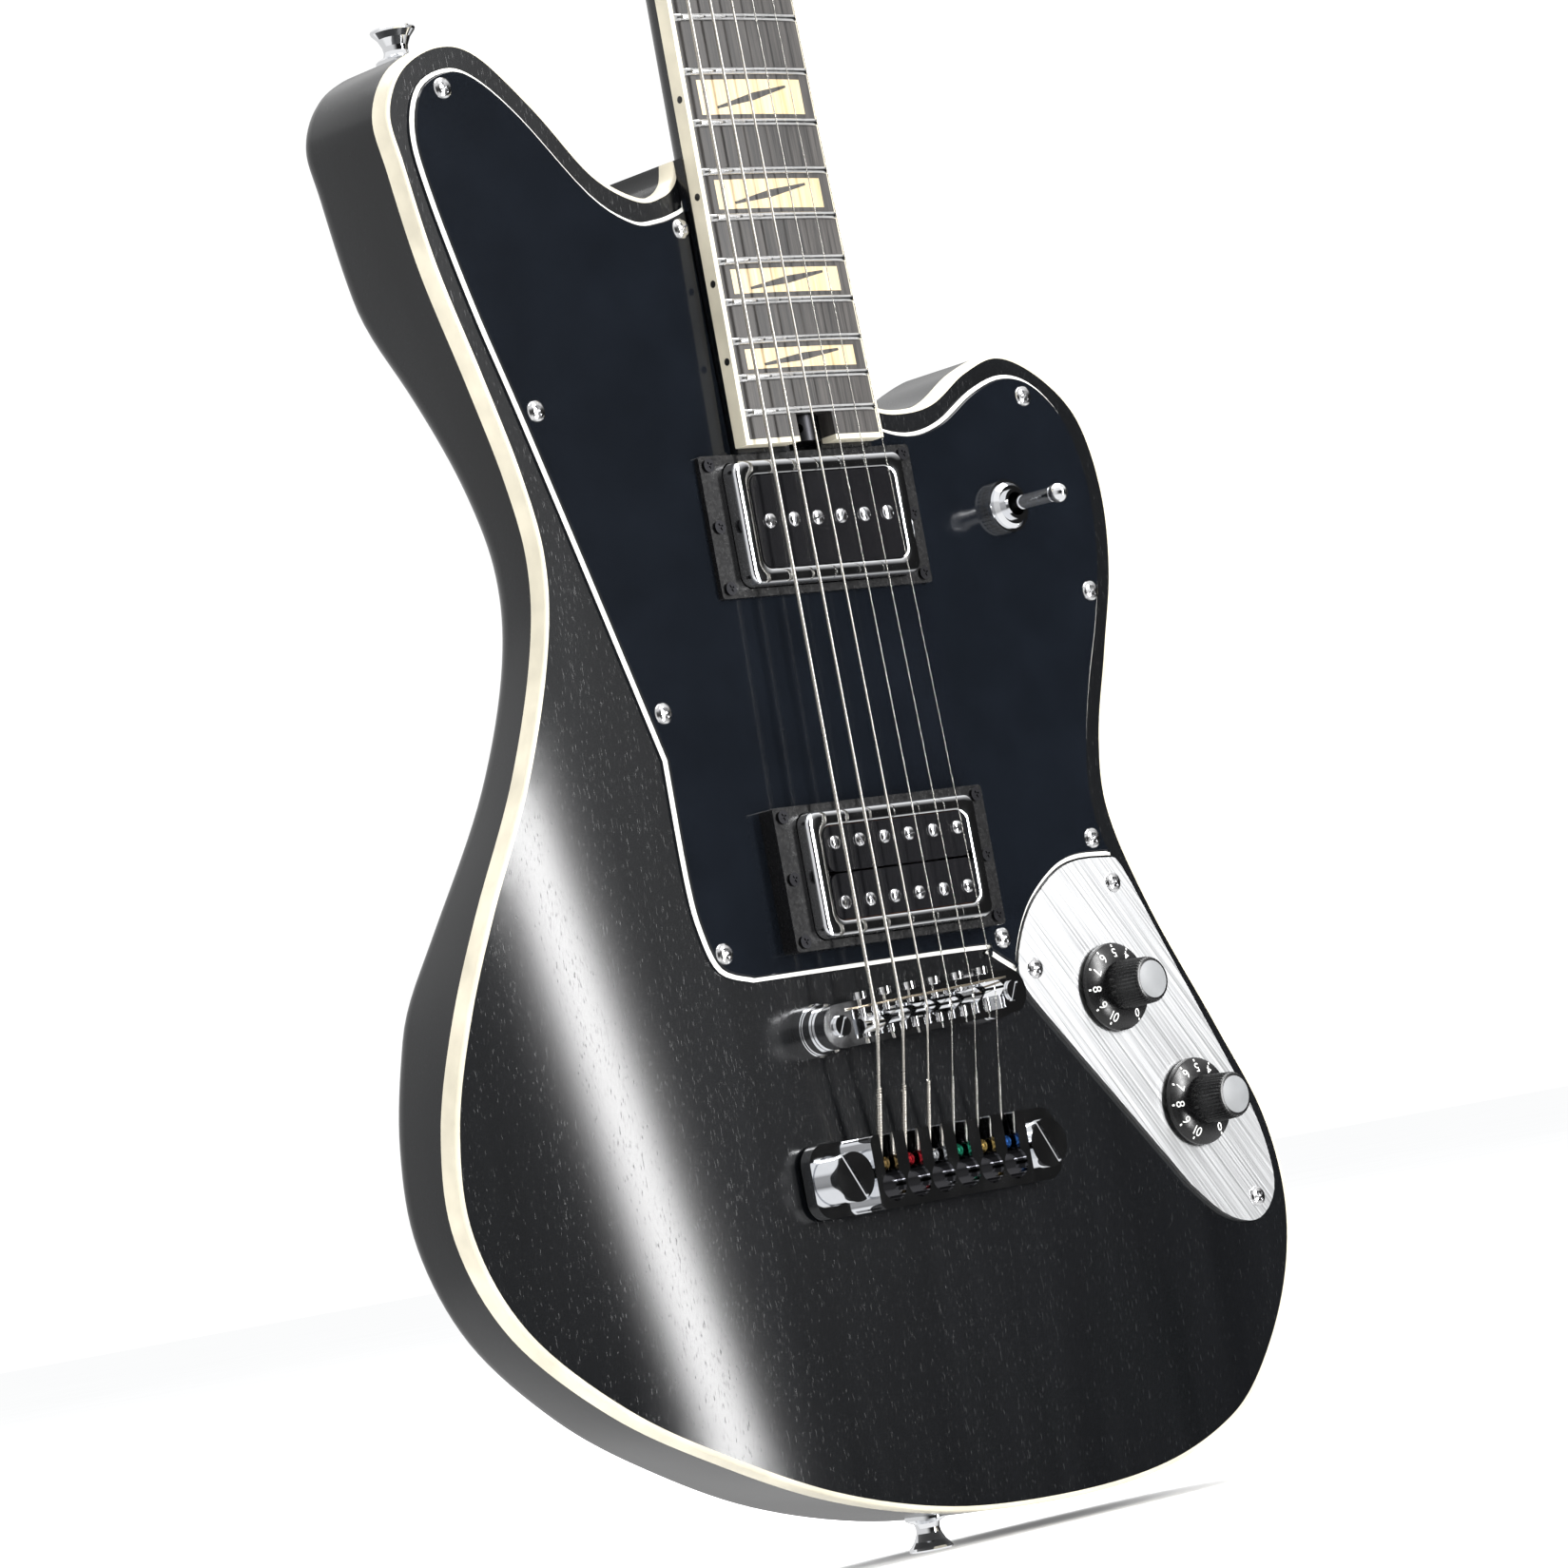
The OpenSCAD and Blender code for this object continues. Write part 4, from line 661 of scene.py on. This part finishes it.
def make_body():
    body = body_blank()
    pocket = Shape()
    pocket.slab(np.array([(-28.45, HEEL_END - 0.15), (28.45, HEEL_END - 0.15), (28.45, 230),
                          (-28.45, 300)]), [(0, POCKET_FLOOR), (0, 25)])
    combine(body, pocket)
    cavities = Shape()
    for z, _ in (NECK_PICKUP, BRIDGE_PICKUP):
        cavities.slab(rounded(COVER_W + 8, COVER_L + 1.5, 5, z), [(0, CAVITY_FLOOR), (0, PAST_TOP)])
    for x, z in (VOLUME_AT, TONE_AT):
        cylinder(cavities, POT_HOLE_R, at(x, -34, z), at(x, PAST_TOP, z))
    x, z = TOGGLE_AT
    cylinder(cavities, SWITCH_HOLE_R, at(x, -34, z), at(x, PAST_TOP, z))
    for side in (-1, 1):
        post_x, stud_x = side * BRIDGE_POSTS / 2, side * TAIL_STUDS / 2
        cylinder(cavities, POST_HOLE_R, bridge_at(post_x, -22, 0), bridge_at(post_x, PAST_TOP, 0))
        cylinder(cavities, STUD_HOLE_R, at(stud_x, -26, -TAIL_DROP),
                 at(stud_x, PAST_TOP, -TAIL_DROP))
    combine(body, cavities)
    seats = Shape()
    button_x = -CENTRE_X / MM
    for r, start, end in (
            (JACK_SEAT_R, (JACK_SEAT_X, HALF_T, JACK_Z), (JACK_SEAT_X + 9, HALF_T, JACK_Z)),
            (BUTTON_SEAT_R, (button_x, HALF_T, LOW_SEAT_Z - 5), (button_x, HALF_T, LOW_SEAT_Z)),
            (BUTTON_SEAT_R, (HORN_X, HALF_T, HIGH_SEAT_Z), (HORN_X, HALF_T, HIGH_SEAT_Z + 5))):
        cylinder(seats, r, at(*start), at(*end))
    seats.slab(np.array([(-24.1, 173.9), (24.1, 173.9), (24.1, 190.1), (20, 196.1), (-18, 242.1),
                         (-24.1, 240.1)]), [(0, -BODY_T - 1), (0, -BODY_T + 2.2)])
    combine(body, seats)
    tunnel = Shape()
    cylinder(tunnel, TUNNEL_R, at(125, HALF_T, JACK_Z), at(JACK_SEAT_X + 2, HALF_T, JACK_Z))
    combine(body, tunnel)
    finished(body, BLACK_ASH, stands_for=("body",), crease=32)


def make_binding():
    """Rounded cream strip along the front edge, cut off flat beside the neck."""
    round_r = 0.9
    steps = [(round_r, 0), (0.45 * round_r, 0.12 * round_r), (0.12 * round_r, 0.45 * round_r),
             (0, round_r), (0, BINDING_H)]
    sections = []
    for outer, inner in zip(body_path, binding_path):
        way = (inner - outer) / BINDING_T
        section = [front_at(*inner, BINDING_H), front_at(*inner)]
        section += [front_at(*(outer + way * d), drop) for d, drop in steps]
        sections.append(section)
    strip = Shape()
    strip.loft(sections)
    strip.piece("edge_binding", CREAM, stands_for=("body_binding",), crease=40)


make_body()
make_binding()


# ---- Neck ----
POST_X = [-26, -24.5, -23, 23, 24.5, 26]
POST_Z = [46, 84, 122, 122, 84, 46]
POST_SIDE = [-1, -1, -1, 1, 1, 1]
POST_R = 3
WIND_Y = -8


def make_neck():
    shaft = Shape()
    top, bottom, slices, around = NUT_Z + NUT_L, BOARD_END + 12, 44, 28
    sections = []
    for k in range(slices + 1):
        z = bottom + (top - bottom) * k / slices
        depth = 15.5 - 2.5 * max(0, z) / NUT_Z
        width = board_half(min(z, NUT_Z)) - 0.1
        angles = [math.pi * i / around for i in range(around + 1)]
        sections.append([neck_at(width * math.cos(a) * (1 - 0.06 * math.sin(a)),
                                 FRET_H + BOARD_T + depth * max(math.sin(a), 0) ** 0.8, z)
                         for a in angles])
    shaft.loft(sections)
    neck = shaft.object("guitar_neck")
    heel = Shape()
    seat = [(-28.3, HEEL_END), (28.3, HEEL_END), (28.3, 195), (-28.3, 263)]
    under = LAST_FRET_H - FRET_H - BOARD_T
    heel.loft([[at(x, POCKET_FLOOR + 0.1, z) for x, z in seat],
               [at(x, under - (z - LAST_Z) * math.tan(NECK_ANGLE), z) for x, z in seat]])
    combine(neck, heel, "UNION")
    right = smooth_path(HEAD_POINTS, 5)
    outline = np.vstack([right, (right * (-1, 1))[::-1][1:]])
    head = Shape()
    head.slab(outline, [(1.5, 0), (0.45, 0.45), (0, 1.5), (0, HEAD_T - 1.5),
                        (0.45, HEAD_T - 0.45), (1.5, HEAD_T)], place=head_at)
    combine(neck, head, "UNION")
    cheek = Shape()
    cheek.lathe([(0, -17), (5, -16), (7.6, -12), (8, -8), (8, 8), (7.6, 12), (5, 16), (0, 17)],
                neck_at(0, FRET_H + BOARD_T + 13, NUT_Z + NUT_L), Vector((1, 0, 0)))
    combine(neck, cheek, "UNION")
    holes = Shape()
    for x, z in zip(POST_X, POST_Z):
        cylinder(holes, 5, head_at(x, -5, z), head_at(x, HEAD_T + 5, z), 32)
    cylinder(holes, 7.2, neck_at(0, FRET_H + BOARD_T + 2.4, BOARD_END - 8),
             neck_at(0, FRET_H + BOARD_T + 2.4, 10 + BOARD_END))
    combine(neck, holes)
    finished(neck, BLACK_NECK, stands_for=("neck",), crease=32)


def make_frets():
    """Crowned wire with rounded ends, following the board's curve."""
    wire = Shape()
    across, around, end_round = 20, 8, 1.3
    top_r = BOARD_RADIUS + FRET_H
    for n in range(1, FRETS + 1):
        z = fret_z(n) - LAST_Z
        half = board_half(z) - STRIP
        sections = []
        for k in range(across + 1):
            t = -math.cos(math.pi * k / across)
            x = half * (0.6 * t + 0.4 * t ** 3)
            rise = math.sqrt(max(0.0, 1 - (max(0.0, abs(x) - half + end_round) / end_round) ** 2))
            rise = max(rise, 0.12)
            seat = FRET_H + BOARD_RADIUS - math.sqrt(BOARD_RADIUS ** 2 - x * x)
            crown = FRET_H + BOARD_RADIUS - math.sqrt(top_r ** 2 - x * x)
            arc = [math.pi * i / around for i in range(around + 1)]
            section = [neck_at(x, seat - (seat - crown) * rise * math.sin(a) ** 0.85,
                               z + 1.2 * math.cos(a)) for a in arc]
            sections.append([neck_at(x, seat + 0.3, z + 1.2), *section,
                             neck_at(x, seat + 0.3, z - 1.2)])
        wire.loft(sections)
    wire.piece("fret_wires", FRET_WIRE, stands_for=("frets",), crease=50)


def make_side_dots():
    dots = Shape()
    for n in (3, 5, 7, 9, 12, 15, 17, 19, 21):
        z = (fret_z(n) + fret_z(n - 1)) / 2 - LAST_Z
        for shift in ((-4, 4) if n == 12 else (0,)):
            start = neck_at(-board_half(z + shift) + 0.3, FRET_H + 3.4, z + shift)
            dots.lathe([(0, 0), (1.15, 0), (1.15, 0.35), (1.0, 0.4), (0, 0.4)], start,
                       Vector((-1, 0, 0)), 24)
    dots.piece("side_dots", DOT_BLACK)


make_neck()
make_frets()
make_side_dots()


# ---- Pickguard: three plies with one bevelled edge ----
guard_path = joined(GUARD_PATHS, 5)
guard_path[0] = (-29, 248.8)  # where the guard meets the side of the neck
NOTCH = np.array([(29.2, 182.9), (29.2, HEEL_END), (-29, HEEL_END)])


def guard_ring(distance):
    return np.vstack([open_inset(guard_path, distance), NOTCH])


def guard_ply(name, material, steps, stands_for):
    """One ply; the steps are (inset, height) up its bevelled edge."""
    holes = [rounded(COVER_W + 4, COVER_L + 1, 3, z) for z, _ in (NECK_PICKUP, BRIDGE_PICKUP)]
    holes += [circle(6.2, TOGGLE_AT)] + [circle(1.6, p, 16) for p in GUARD_SCREWS]
    ply = Shape()
    loops = [[at(x, h, z) for x, z in guard_ring(d)] for d, h in steps]
    ply.loft(loops, caps=False)
    for d, h in (steps[0], steps[-1]):
        ring = guard_ring(d)
        ply.add([at(x, h, z) for x, z in np.vstack([ring, *holes])], fill(ring, holes))
    for hole in holes:
        ply.loft([[at(x, h, z) for x, z in hole] for h in (steps[0][1], steps[-1][1])], caps=False)
    ply.piece(name, material, stands_for=stands_for, crease=20)


guard_ply("guard_base_ply", GUARD_BLACK, [(0, 0), (0.25, PLY_T)], ())
guard_ply("guard_white_ply", WHITE_PLY, [(0.25, PLY_T), (1.4, 2 * PLY_T)],
          ("pickguard_white_ply",))
guard_ply("guard_top_ply", GUARD_BLACK,
          [(1.4, 2 * PLY_T), (1.7, 3 * PLY_T - 0.12), (1.85, 3 * PLY_T)], ("pickguard",))


# ---- Pickup covers ----
def cover_section(w_less, h):
    return COVER_W - w_less, COVER_L - w_less, max(COVER_R - w_less / 2, 1.5), h


def make_cover(name, z, top):
    steps = [cover_section(0, top - 19), cover_section(0, top - 1.6), cover_section(0.3, top - 0.8),
             cover_section(1.0, top - 0.25), cover_section(2.4, top),
             (WINDOW_W + 1.4, WINDOW_L + 1.4, 4.2, top),
             (WINDOW_W + 0.4, WINDOW_L + 0.4, 3.7, top - 0.2),
             (WINDOW_W, WINDOW_L, 3.5, top - 0.7), (WINDOW_W, WINDOW_L, 3.5, top - 1.3),
             cover_section(1.6, top - 1.5), cover_section(1.6, top - 19)]
    cover = Shape()
    cover.ring([[at(x, h, zz) for x, zz in round_rect(w, l, r, 8, (0, z))]
                for w, l, r, h in steps])
    cover.piece(name, CHROME, stands_for=("pickup_covers",), crease=30)


POLE_R, POLE_LEN = 1.55, 17.5
POLE_TURNS = [10, 75, 15, 60, 115, 95]
POLE_ROWS = [(NECK_PICKUP, 0, 9.96, 2.3), (BRIDGE_PICKUP, -9.17, 10.44, 2.1),
             (BRIDGE_PICKUP, 9.17, 10.44, 2.1)]


def make_poles():
    """Domed, slotted pole screws: a row of six, and two rows of six."""
    poles, slots = Shape(), Shape()
    for row, ((z, top), shift, pitch, r) in enumerate(POLE_ROWS):
        for i in range(6):
            x = (i - 2.5) * pitch
            poles.lathe([(0, -POLE_LEN), (POLE_R, -POLE_LEN), (POLE_R, 0), (r, 0), (r, 0.4),
                         (0.92 * r, 0.68), (0.7 * r, 0.9), (0.4 * r, 1.02), (0, 1.06)],
                        at(x, top, z + shift), Vector((0, -1, 0)), 32)
            turn = math.radians(POLE_TURNS[5 - i if row else i])
            way = np.array([math.cos(turn), math.sin(turn)])
            side = np.array([-way[1], way[0]])
            corners = [(x, z + shift) + a * 3.2 * way + b * 0.35 * side
                       for a, b in ((1, -1), (1, 1), (-1, 1), (-1, -1))]
            slots.loft([[at(cx, top + h, cz) for cx, cz in corners] for h in (0.45, 1.5)])
    made = poles.object("pole_screws")
    combine(made, slots)
    finished(made, POLE_STEEL, stands_for=("pickup_poles",), crease=30)


make_poles()
make_cover("neck_pickup_cover", *NECK_PICKUP)
make_cover("bridge_pickup_cover", *BRIDGE_PICKUP)


# ---- Strings, their wraps, ball ends and windings ----
BRIDGE_PITCH, NUT_PITCH = 10.44, 7.1
STRING_R = [0.584, 0.457, 0.33, 0.216, 0.165, 0.127]
CREST_Z = [-1.2, -0.2, 0.6, 0.2, 0.9, 1.8]
BALL_H, BALL_Z = 8.2, 2.4
BALL_COLOURS = [(0.22, 0.15, 0.06), (0.38, 0.02, 0.03), (0.42, 0.43, 0.44), (0.02, 0.24, 0.14),
                (0.38, 0.27, 0.09), (0.03, 0.11, 0.34)]


def string_points(i):
    """Ball, saddle, nut and post points of a string's centre."""
    x = (i - 2.5) * BRIDGE_PITCH
    nut_x = (i - 2.5) * NUT_PITCH
    ball = (x, BALL_H, BALL_Z - TAIL_DROP)
    saddle = at(x, 18.2 - x * x / 2 / BOARD_RADIUS + STRING_R[i],
                -BRIDGE_DROP + x * math.sin(BRIDGE_SLANT) + CREST_Z[i])
    nut = neck_at(nut_x, nut_x ** 2 / 2 / BOARD_RADIUS - NUT_RISE, NUT_Z + 1.5)
    post = head_at(POST_X[i] - POST_SIDE[i] * (POST_R + STRING_R[i] + 0.1), WIND_Y, POST_Z[i])
    return at(*ball), saddle, nut, post


def helix(origin, way, radius, pitch, length, per_turn=10, phase=0.0):
    way = way.normalized()
    across = way.orthogonal().normalized()
    over = way.cross(across)
    count = int(length / pitch * per_turn)
    return [origin + MM * (way * (length * k / count)
                           + radius * (math.cos(phase + 2 * math.pi * k / per_turn) * across
                                       + math.sin(phase + 2 * math.pi * k / per_turn) * over))
            for k in range(count + 1)]


def make_string(i):
    ball, saddle, nut, post = string_points(i)
    r = STRING_R[i]
    start = ball + Vector((0, 0, 2.2 * MM))
    corner = 0.8 * MM
    path = [start]
    for before, bend, after in ((start, saddle, nut), (saddle, nut, post)):
        path += [bend + (before - bend).normalized() * corner, bend,
                 bend + (after - bend).normalized() * corner]
    path.append(post)
    string = Shape()
    string.tube(path, r, 16)
    wrap_r = 0.17 + 0.1 * r
    string.tube(helix(start, saddle - start, r + wrap_r * 0.8, 3.4 * wrap_r, 21), wrap_r, 8)
    string.tube(helix(start, saddle - start, r + wrap_r * 0.8, 3.4 * wrap_r, 19, phase=2.4),
                wrap_r, 8)
    string.piece(f"string_{i + 1}", WOUND_STRING if i < 3 else PLAIN_STRING,
                 stands_for=("strings",), crease=60)


def make_ball(i):
    ball = string_points(i)[0]
    profile = [(0.9, -1.7), (1.9, -1.7), (2.1, -1.5), (2.1, -1.1), (1.6, -0.7), (1.6, 0.7),
               (2.1, 1.1), (2.1, 1.5), (1.9, 1.7), (0.9, 1.7)]
    made = Shape()
    made.ring([[ball + MM * Vector((t, r * math.cos(a), r * math.sin(a)))
                for a in (2 * math.pi * k / 32 for k in range(32))] for r, t in profile])
    colour = metal(f"ball_colour_{i + 1}", BALL_COLOURS[i], 0.25)
    made.piece(f"ball_end_{i + 1}", colour, stands_for=("ball_ends",))


def make_winding(i):
    """The turns round the post, from its hole down to where the string comes in."""
    r = STRING_R[i]
    rise = min(3.2, 5 * (2 * r + 0.06))
    turns = rise / (2 * r + 0.06)
    steps = int(turns * 24)
    points = []
    for k in range(steps + 1):
        angle = (math.pi if POST_SIDE[i] > 0 else 0) + 2 * math.pi * POST_SIDE[i] * k / 24
        points.append(head_at(POST_X[i] + (POST_R + r) * math.cos(angle),
                              WIND_Y - rise * k / steps,
                              POST_Z[i] + (POST_R + r) * math.sin(angle)))
    winding = Shape()
    winding.tube(points, r, 10)
    winding.piece(f"post_winding_{i + 1}", PLAIN_STRING,
                  body=f"post_body_{i + 1}", crease=60)


for i in range(6):
    make_string(i)
    make_ball(i)
    make_winding(i)


# ---- Bridge wire ----
def make_bridge_wire():
    wire = Shape()
    places = [(x, 17.3 - x * x / 610, 4.5) for x in range(-33, 34, 3)]
    wire.tube([bridge_at(*p) for p in [(-33.2, 11.5, 4.5), *places, (33.2, 11.5, 4.5)]], 0.32, 8)
    wire.piece("saddle_wire", BRONZE, crease=60)


make_bridge_wire()


# ---- Knobs ----
KNOB_BASE = PLATE_T + 1
KNOB_LEN = 20 - KNOB_BASE
SKIRT_R, SKIRT_EDGE, SKIRT_TOP = 14, 1.9, 3.6
BARREL_R, TOP_R = 7.8, 6.6
RIBS = 40
CONE_IN = BARREL_R + 0.6


def make_knob(body, where):
    x0, z0 = where
    skirt = Shape()
    skirt.lathe([(0, 0), (SKIRT_R - 0.3, 0), (SKIRT_R, 0.3), (SKIRT_R, 1.2), (SKIRT_R - 0.25, 1.65),
                 (SKIRT_R - 0.6, SKIRT_EDGE), (CONE_IN, SKIRT_TOP), (0, SKIRT_TOP)],
                at(x0, KNOB_BASE, z0), Vector((0, -1, 0)), 96)
    levels = [(BARREL_R, SKIRT_TOP - 0.4, 1), (BARREL_R, SKIRT_TOP + 0.3, 1),
              (TOP_R + 0.75, KNOB_LEN - 1.5, 1), (TOP_R + 0.5, KNOB_LEN - 0.8, 0.4),
              (TOP_R + 0.15, KNOB_LEN - 0.35, 0), (TOP_R - 0.2, KNOB_LEN - 0.2, 0)]
    sides = RIBS * 6
    loops = []
    for r, h, depth in levels:
        loop = []
        for k in range(sides):
            a = 2 * math.pi * k / sides
            groove = 0.42 * depth * (0.5 - 0.5 * math.cos(RIBS * a)) ** 0.6
            loop.append(at(x0 + (r - groove) * math.cos(a), KNOB_BASE + h,
                           z0 + (r - groove) * math.sin(a)))
        loops.append(loop)
    skirt.loft(loops)
    skirt.piece(f"{body}_knob_shell", KNOB_BLACK, body, (f"{body}_knob",), 28)
    disc = Shape()
    disc.lathe([(0, 0), (TOP_R - 0.7, 0), (TOP_R - 0.7, 0.24), (TOP_R - 0.9, 0.34), (0, 0.34)],
               at(x0, KNOB_BASE + KNOB_LEN - 0.36, z0), Vector((0, -1, 0)), 64)
    disc.piece(f"{body}_knob_disc", KNOB_DISC, body)
    make_scale(body, x0, z0)


def on_skirt(x0, z0, angle, r, lift=0.0):
    """Point on the cone, at a clockwise angle from the top."""
    rise = SKIRT_EDGE + (SKIRT_TOP - SKIRT_EDGE) * (SKIRT_R - 0.6 - r) / (SKIRT_R - 0.6 - CONE_IN)
    return at(x0 + r * math.sin(angle), KNOB_BASE + rise + lift, z0 + r * math.cos(angle))


def make_scale(body, x0, z0):
    """White ticks and the numbers 0 to 10, anticlockwise from the lower right."""
    scale = Shape()
    cone = math.atan2(SKIRT_TOP - SKIRT_EDGE, SKIRT_R - 0.6 - CONE_IN)
    for value in range(11):
        angle = math.radians(30 * (5 - value))
        spread = 0.28 / 13
        corners = [(angle - spread, 12.6), (angle + spread, 12.6), (angle + spread, 13.35),
                   (angle - spread, 13.35)]
        scale.loft([[on_skirt(x0, z0, a, r, lift) for a, r in corners] for lift in (-0.1, 0.05)])
        text = bpy.data.curves.new("digit", "FONT")
        text.body = str(value)
        text.size = 4.3 * MM
        text.align_x = "CENTER"
        text.align_y = "CENTER"
        text.extrude = 0.05 * MM
        text.space_character = 0.85
        digit = bpy.data.objects.new("digit", text)
        bpy.context.scene.collection.objects.link(digit)
        bpy.context.view_layer.update()
        mesh = bpy.data.meshes.new_from_object(
            digit.evaluated_get(bpy.context.evaluated_depsgraph_get()))
        turn = (Matrix.Translation(on_skirt(x0, z0, angle, 10.75, 0.03))
                @ Matrix.Rotation(angle, 4, "Y") @ Matrix.Rotation(math.radians(90), 4, "X")
                @ Matrix.Rotation(math.pi, 4, "Z") @ Matrix.Rotation(cone, 4, "X"))
        mesh.transform(turn)
        scale.add([v.co for v in mesh.vertices], [list(p.vertices) for p in mesh.polygons])
        bpy.data.objects.remove(digit)
    scale.piece(f"{body}_knob_scale", NUMERAL, body, crease=20)


make_knob("volume", VOLUME_AT)
make_knob("tone", TONE_AT)


# ---- Studio ----
def softbox(name, where, aim, width, height, watts):
    lamp = bpy.data.lights.new(name, "AREA")
    lamp.shape = "RECTANGLE"
    lamp.size = width
    lamp.size_y = height
    lamp.energy = watts
    made = bpy.data.objects.new(name, lamp)
    made.location = where
    made.rotation_euler = (Vector(aim) - Vector(where)).to_track_quat("-Z", "Y").to_euler()
    bpy.context.scene.collection.objects.link(made)


BRIGHT_WAY = Vector((-0.69, 0.70, 0.18)).normalized()
SIDE_RISE = (("From Min", -0.45), ("From Max", 0.35), ("To Min", 0.012), ("To Max", 0.75))
STEEP_RISE = (("From Min", 0.16), ("From Max", 0.5), ("To Min", 0), ("To Max", 1.0))


def make_world():
    """White to the camera. Reflections are dark to the front right, and bright behind, to the
    left, and steeply above and below."""
    world = bpy.data.worlds.new("studio")
    bpy.context.scene.world = world
    world.cycles.sampling_method = "NONE"
    world.use_nodes = True
    tree = world.node_tree

    def node(kind, **settings):
        made = tree.nodes.new(kind)
        for name, value in settings.items():
            setattr(made, name, value)
        return made

    def light(strength, colour=(1, 1, 1)):
        made = node("ShaderNodeBackground")
        made.inputs["Color"].default_value = (*colour, 1)
        made.inputs["Strength"].default_value = strength
        return made

    way = node("ShaderNodeTexCoord")
    dot = node("ShaderNodeVectorMath", operation="DOT_PRODUCT")
    dot.inputs[1].default_value = BRIGHT_WAY
    tree.links.new(way.outputs["Generated"], dot.inputs[0])
    shade = node("ShaderNodeMapRange", interpolation_type="SMOOTHSTEP")
    for socket, value in SIDE_RISE:
        shade.inputs[socket].default_value = value
    tree.links.new(dot.outputs["Value"], shade.inputs["Value"])
    split = node("ShaderNodeSeparateXYZ")
    tree.links.new(way.outputs["Generated"], split.inputs[0])
    steep = node("ShaderNodeMath", operation="ABSOLUTE")
    tree.links.new(split.outputs["Z"], steep.inputs[0])
    above = node("ShaderNodeMapRange", interpolation_type="SMOOTHSTEP")
    for socket, value in STEEP_RISE:
        above.inputs[socket].default_value = value
    tree.links.new(steep.outputs[0], above.inputs["Value"])
    brighter = node("ShaderNodeMath", operation="MAXIMUM")
    tree.links.new(shade.outputs["Result"], brighter.inputs[0])
    tree.links.new(above.outputs["Result"], brighter.inputs[1])
    seen, mirrored, lit = light(1.05), light(1), light(1.0, (0.99, 0.995, 1.0))
    tree.links.new(brighter.outputs[0], mirrored.inputs["Strength"])
    paths = node("ShaderNodeLightPath")
    last = lit
    for ray, choice in (("Is Glossy Ray", mirrored), ("Is Camera Ray", seen)):
        mix = node("ShaderNodeMixShader")
        tree.links.new(paths.outputs[ray], mix.inputs[0])
        tree.links.new(last.outputs[0], mix.inputs[1])
        tree.links.new(choice.outputs[0], mix.inputs[2])
        last = mix
    tree.links.new(last.outputs[0], tree.nodes["World Output"].inputs["Surface"])


def make_studio():
    floor = Shape()
    floor.add([(-40, -40, 0), (40, -40, 0), (40, 40, 0), (-40, 40, 0)], [[0, 1, 2, 3]])
    ground = floor.object("floor")
    pale = shader("pale_floor", Roughness=0.9, Specular_IOR_Level=0.0)
    drive(pale, "Base Color", ramp(pale, noise(pale, (3, 3, 3), 2), (0.3, (0.965, 0.965, 0.965)),
                                   (0.7, (0.985, 0.985, 0.985))))
    ground.data.materials.append(pale)
    ground.visible_glossy = False
    softbox("front_strip", (0.92, -2.03, 0.60), (0.03, 0, 0.5), 0.33, 2.6, 90)
    softbox("overhead", (0.2, 0.3, 3.0), (0.03, 0, 0.2), 3.2, 3.0, 190)


bpy.context.scene.view_settings.view_transform = "Standard"
make_world()
make_studio()
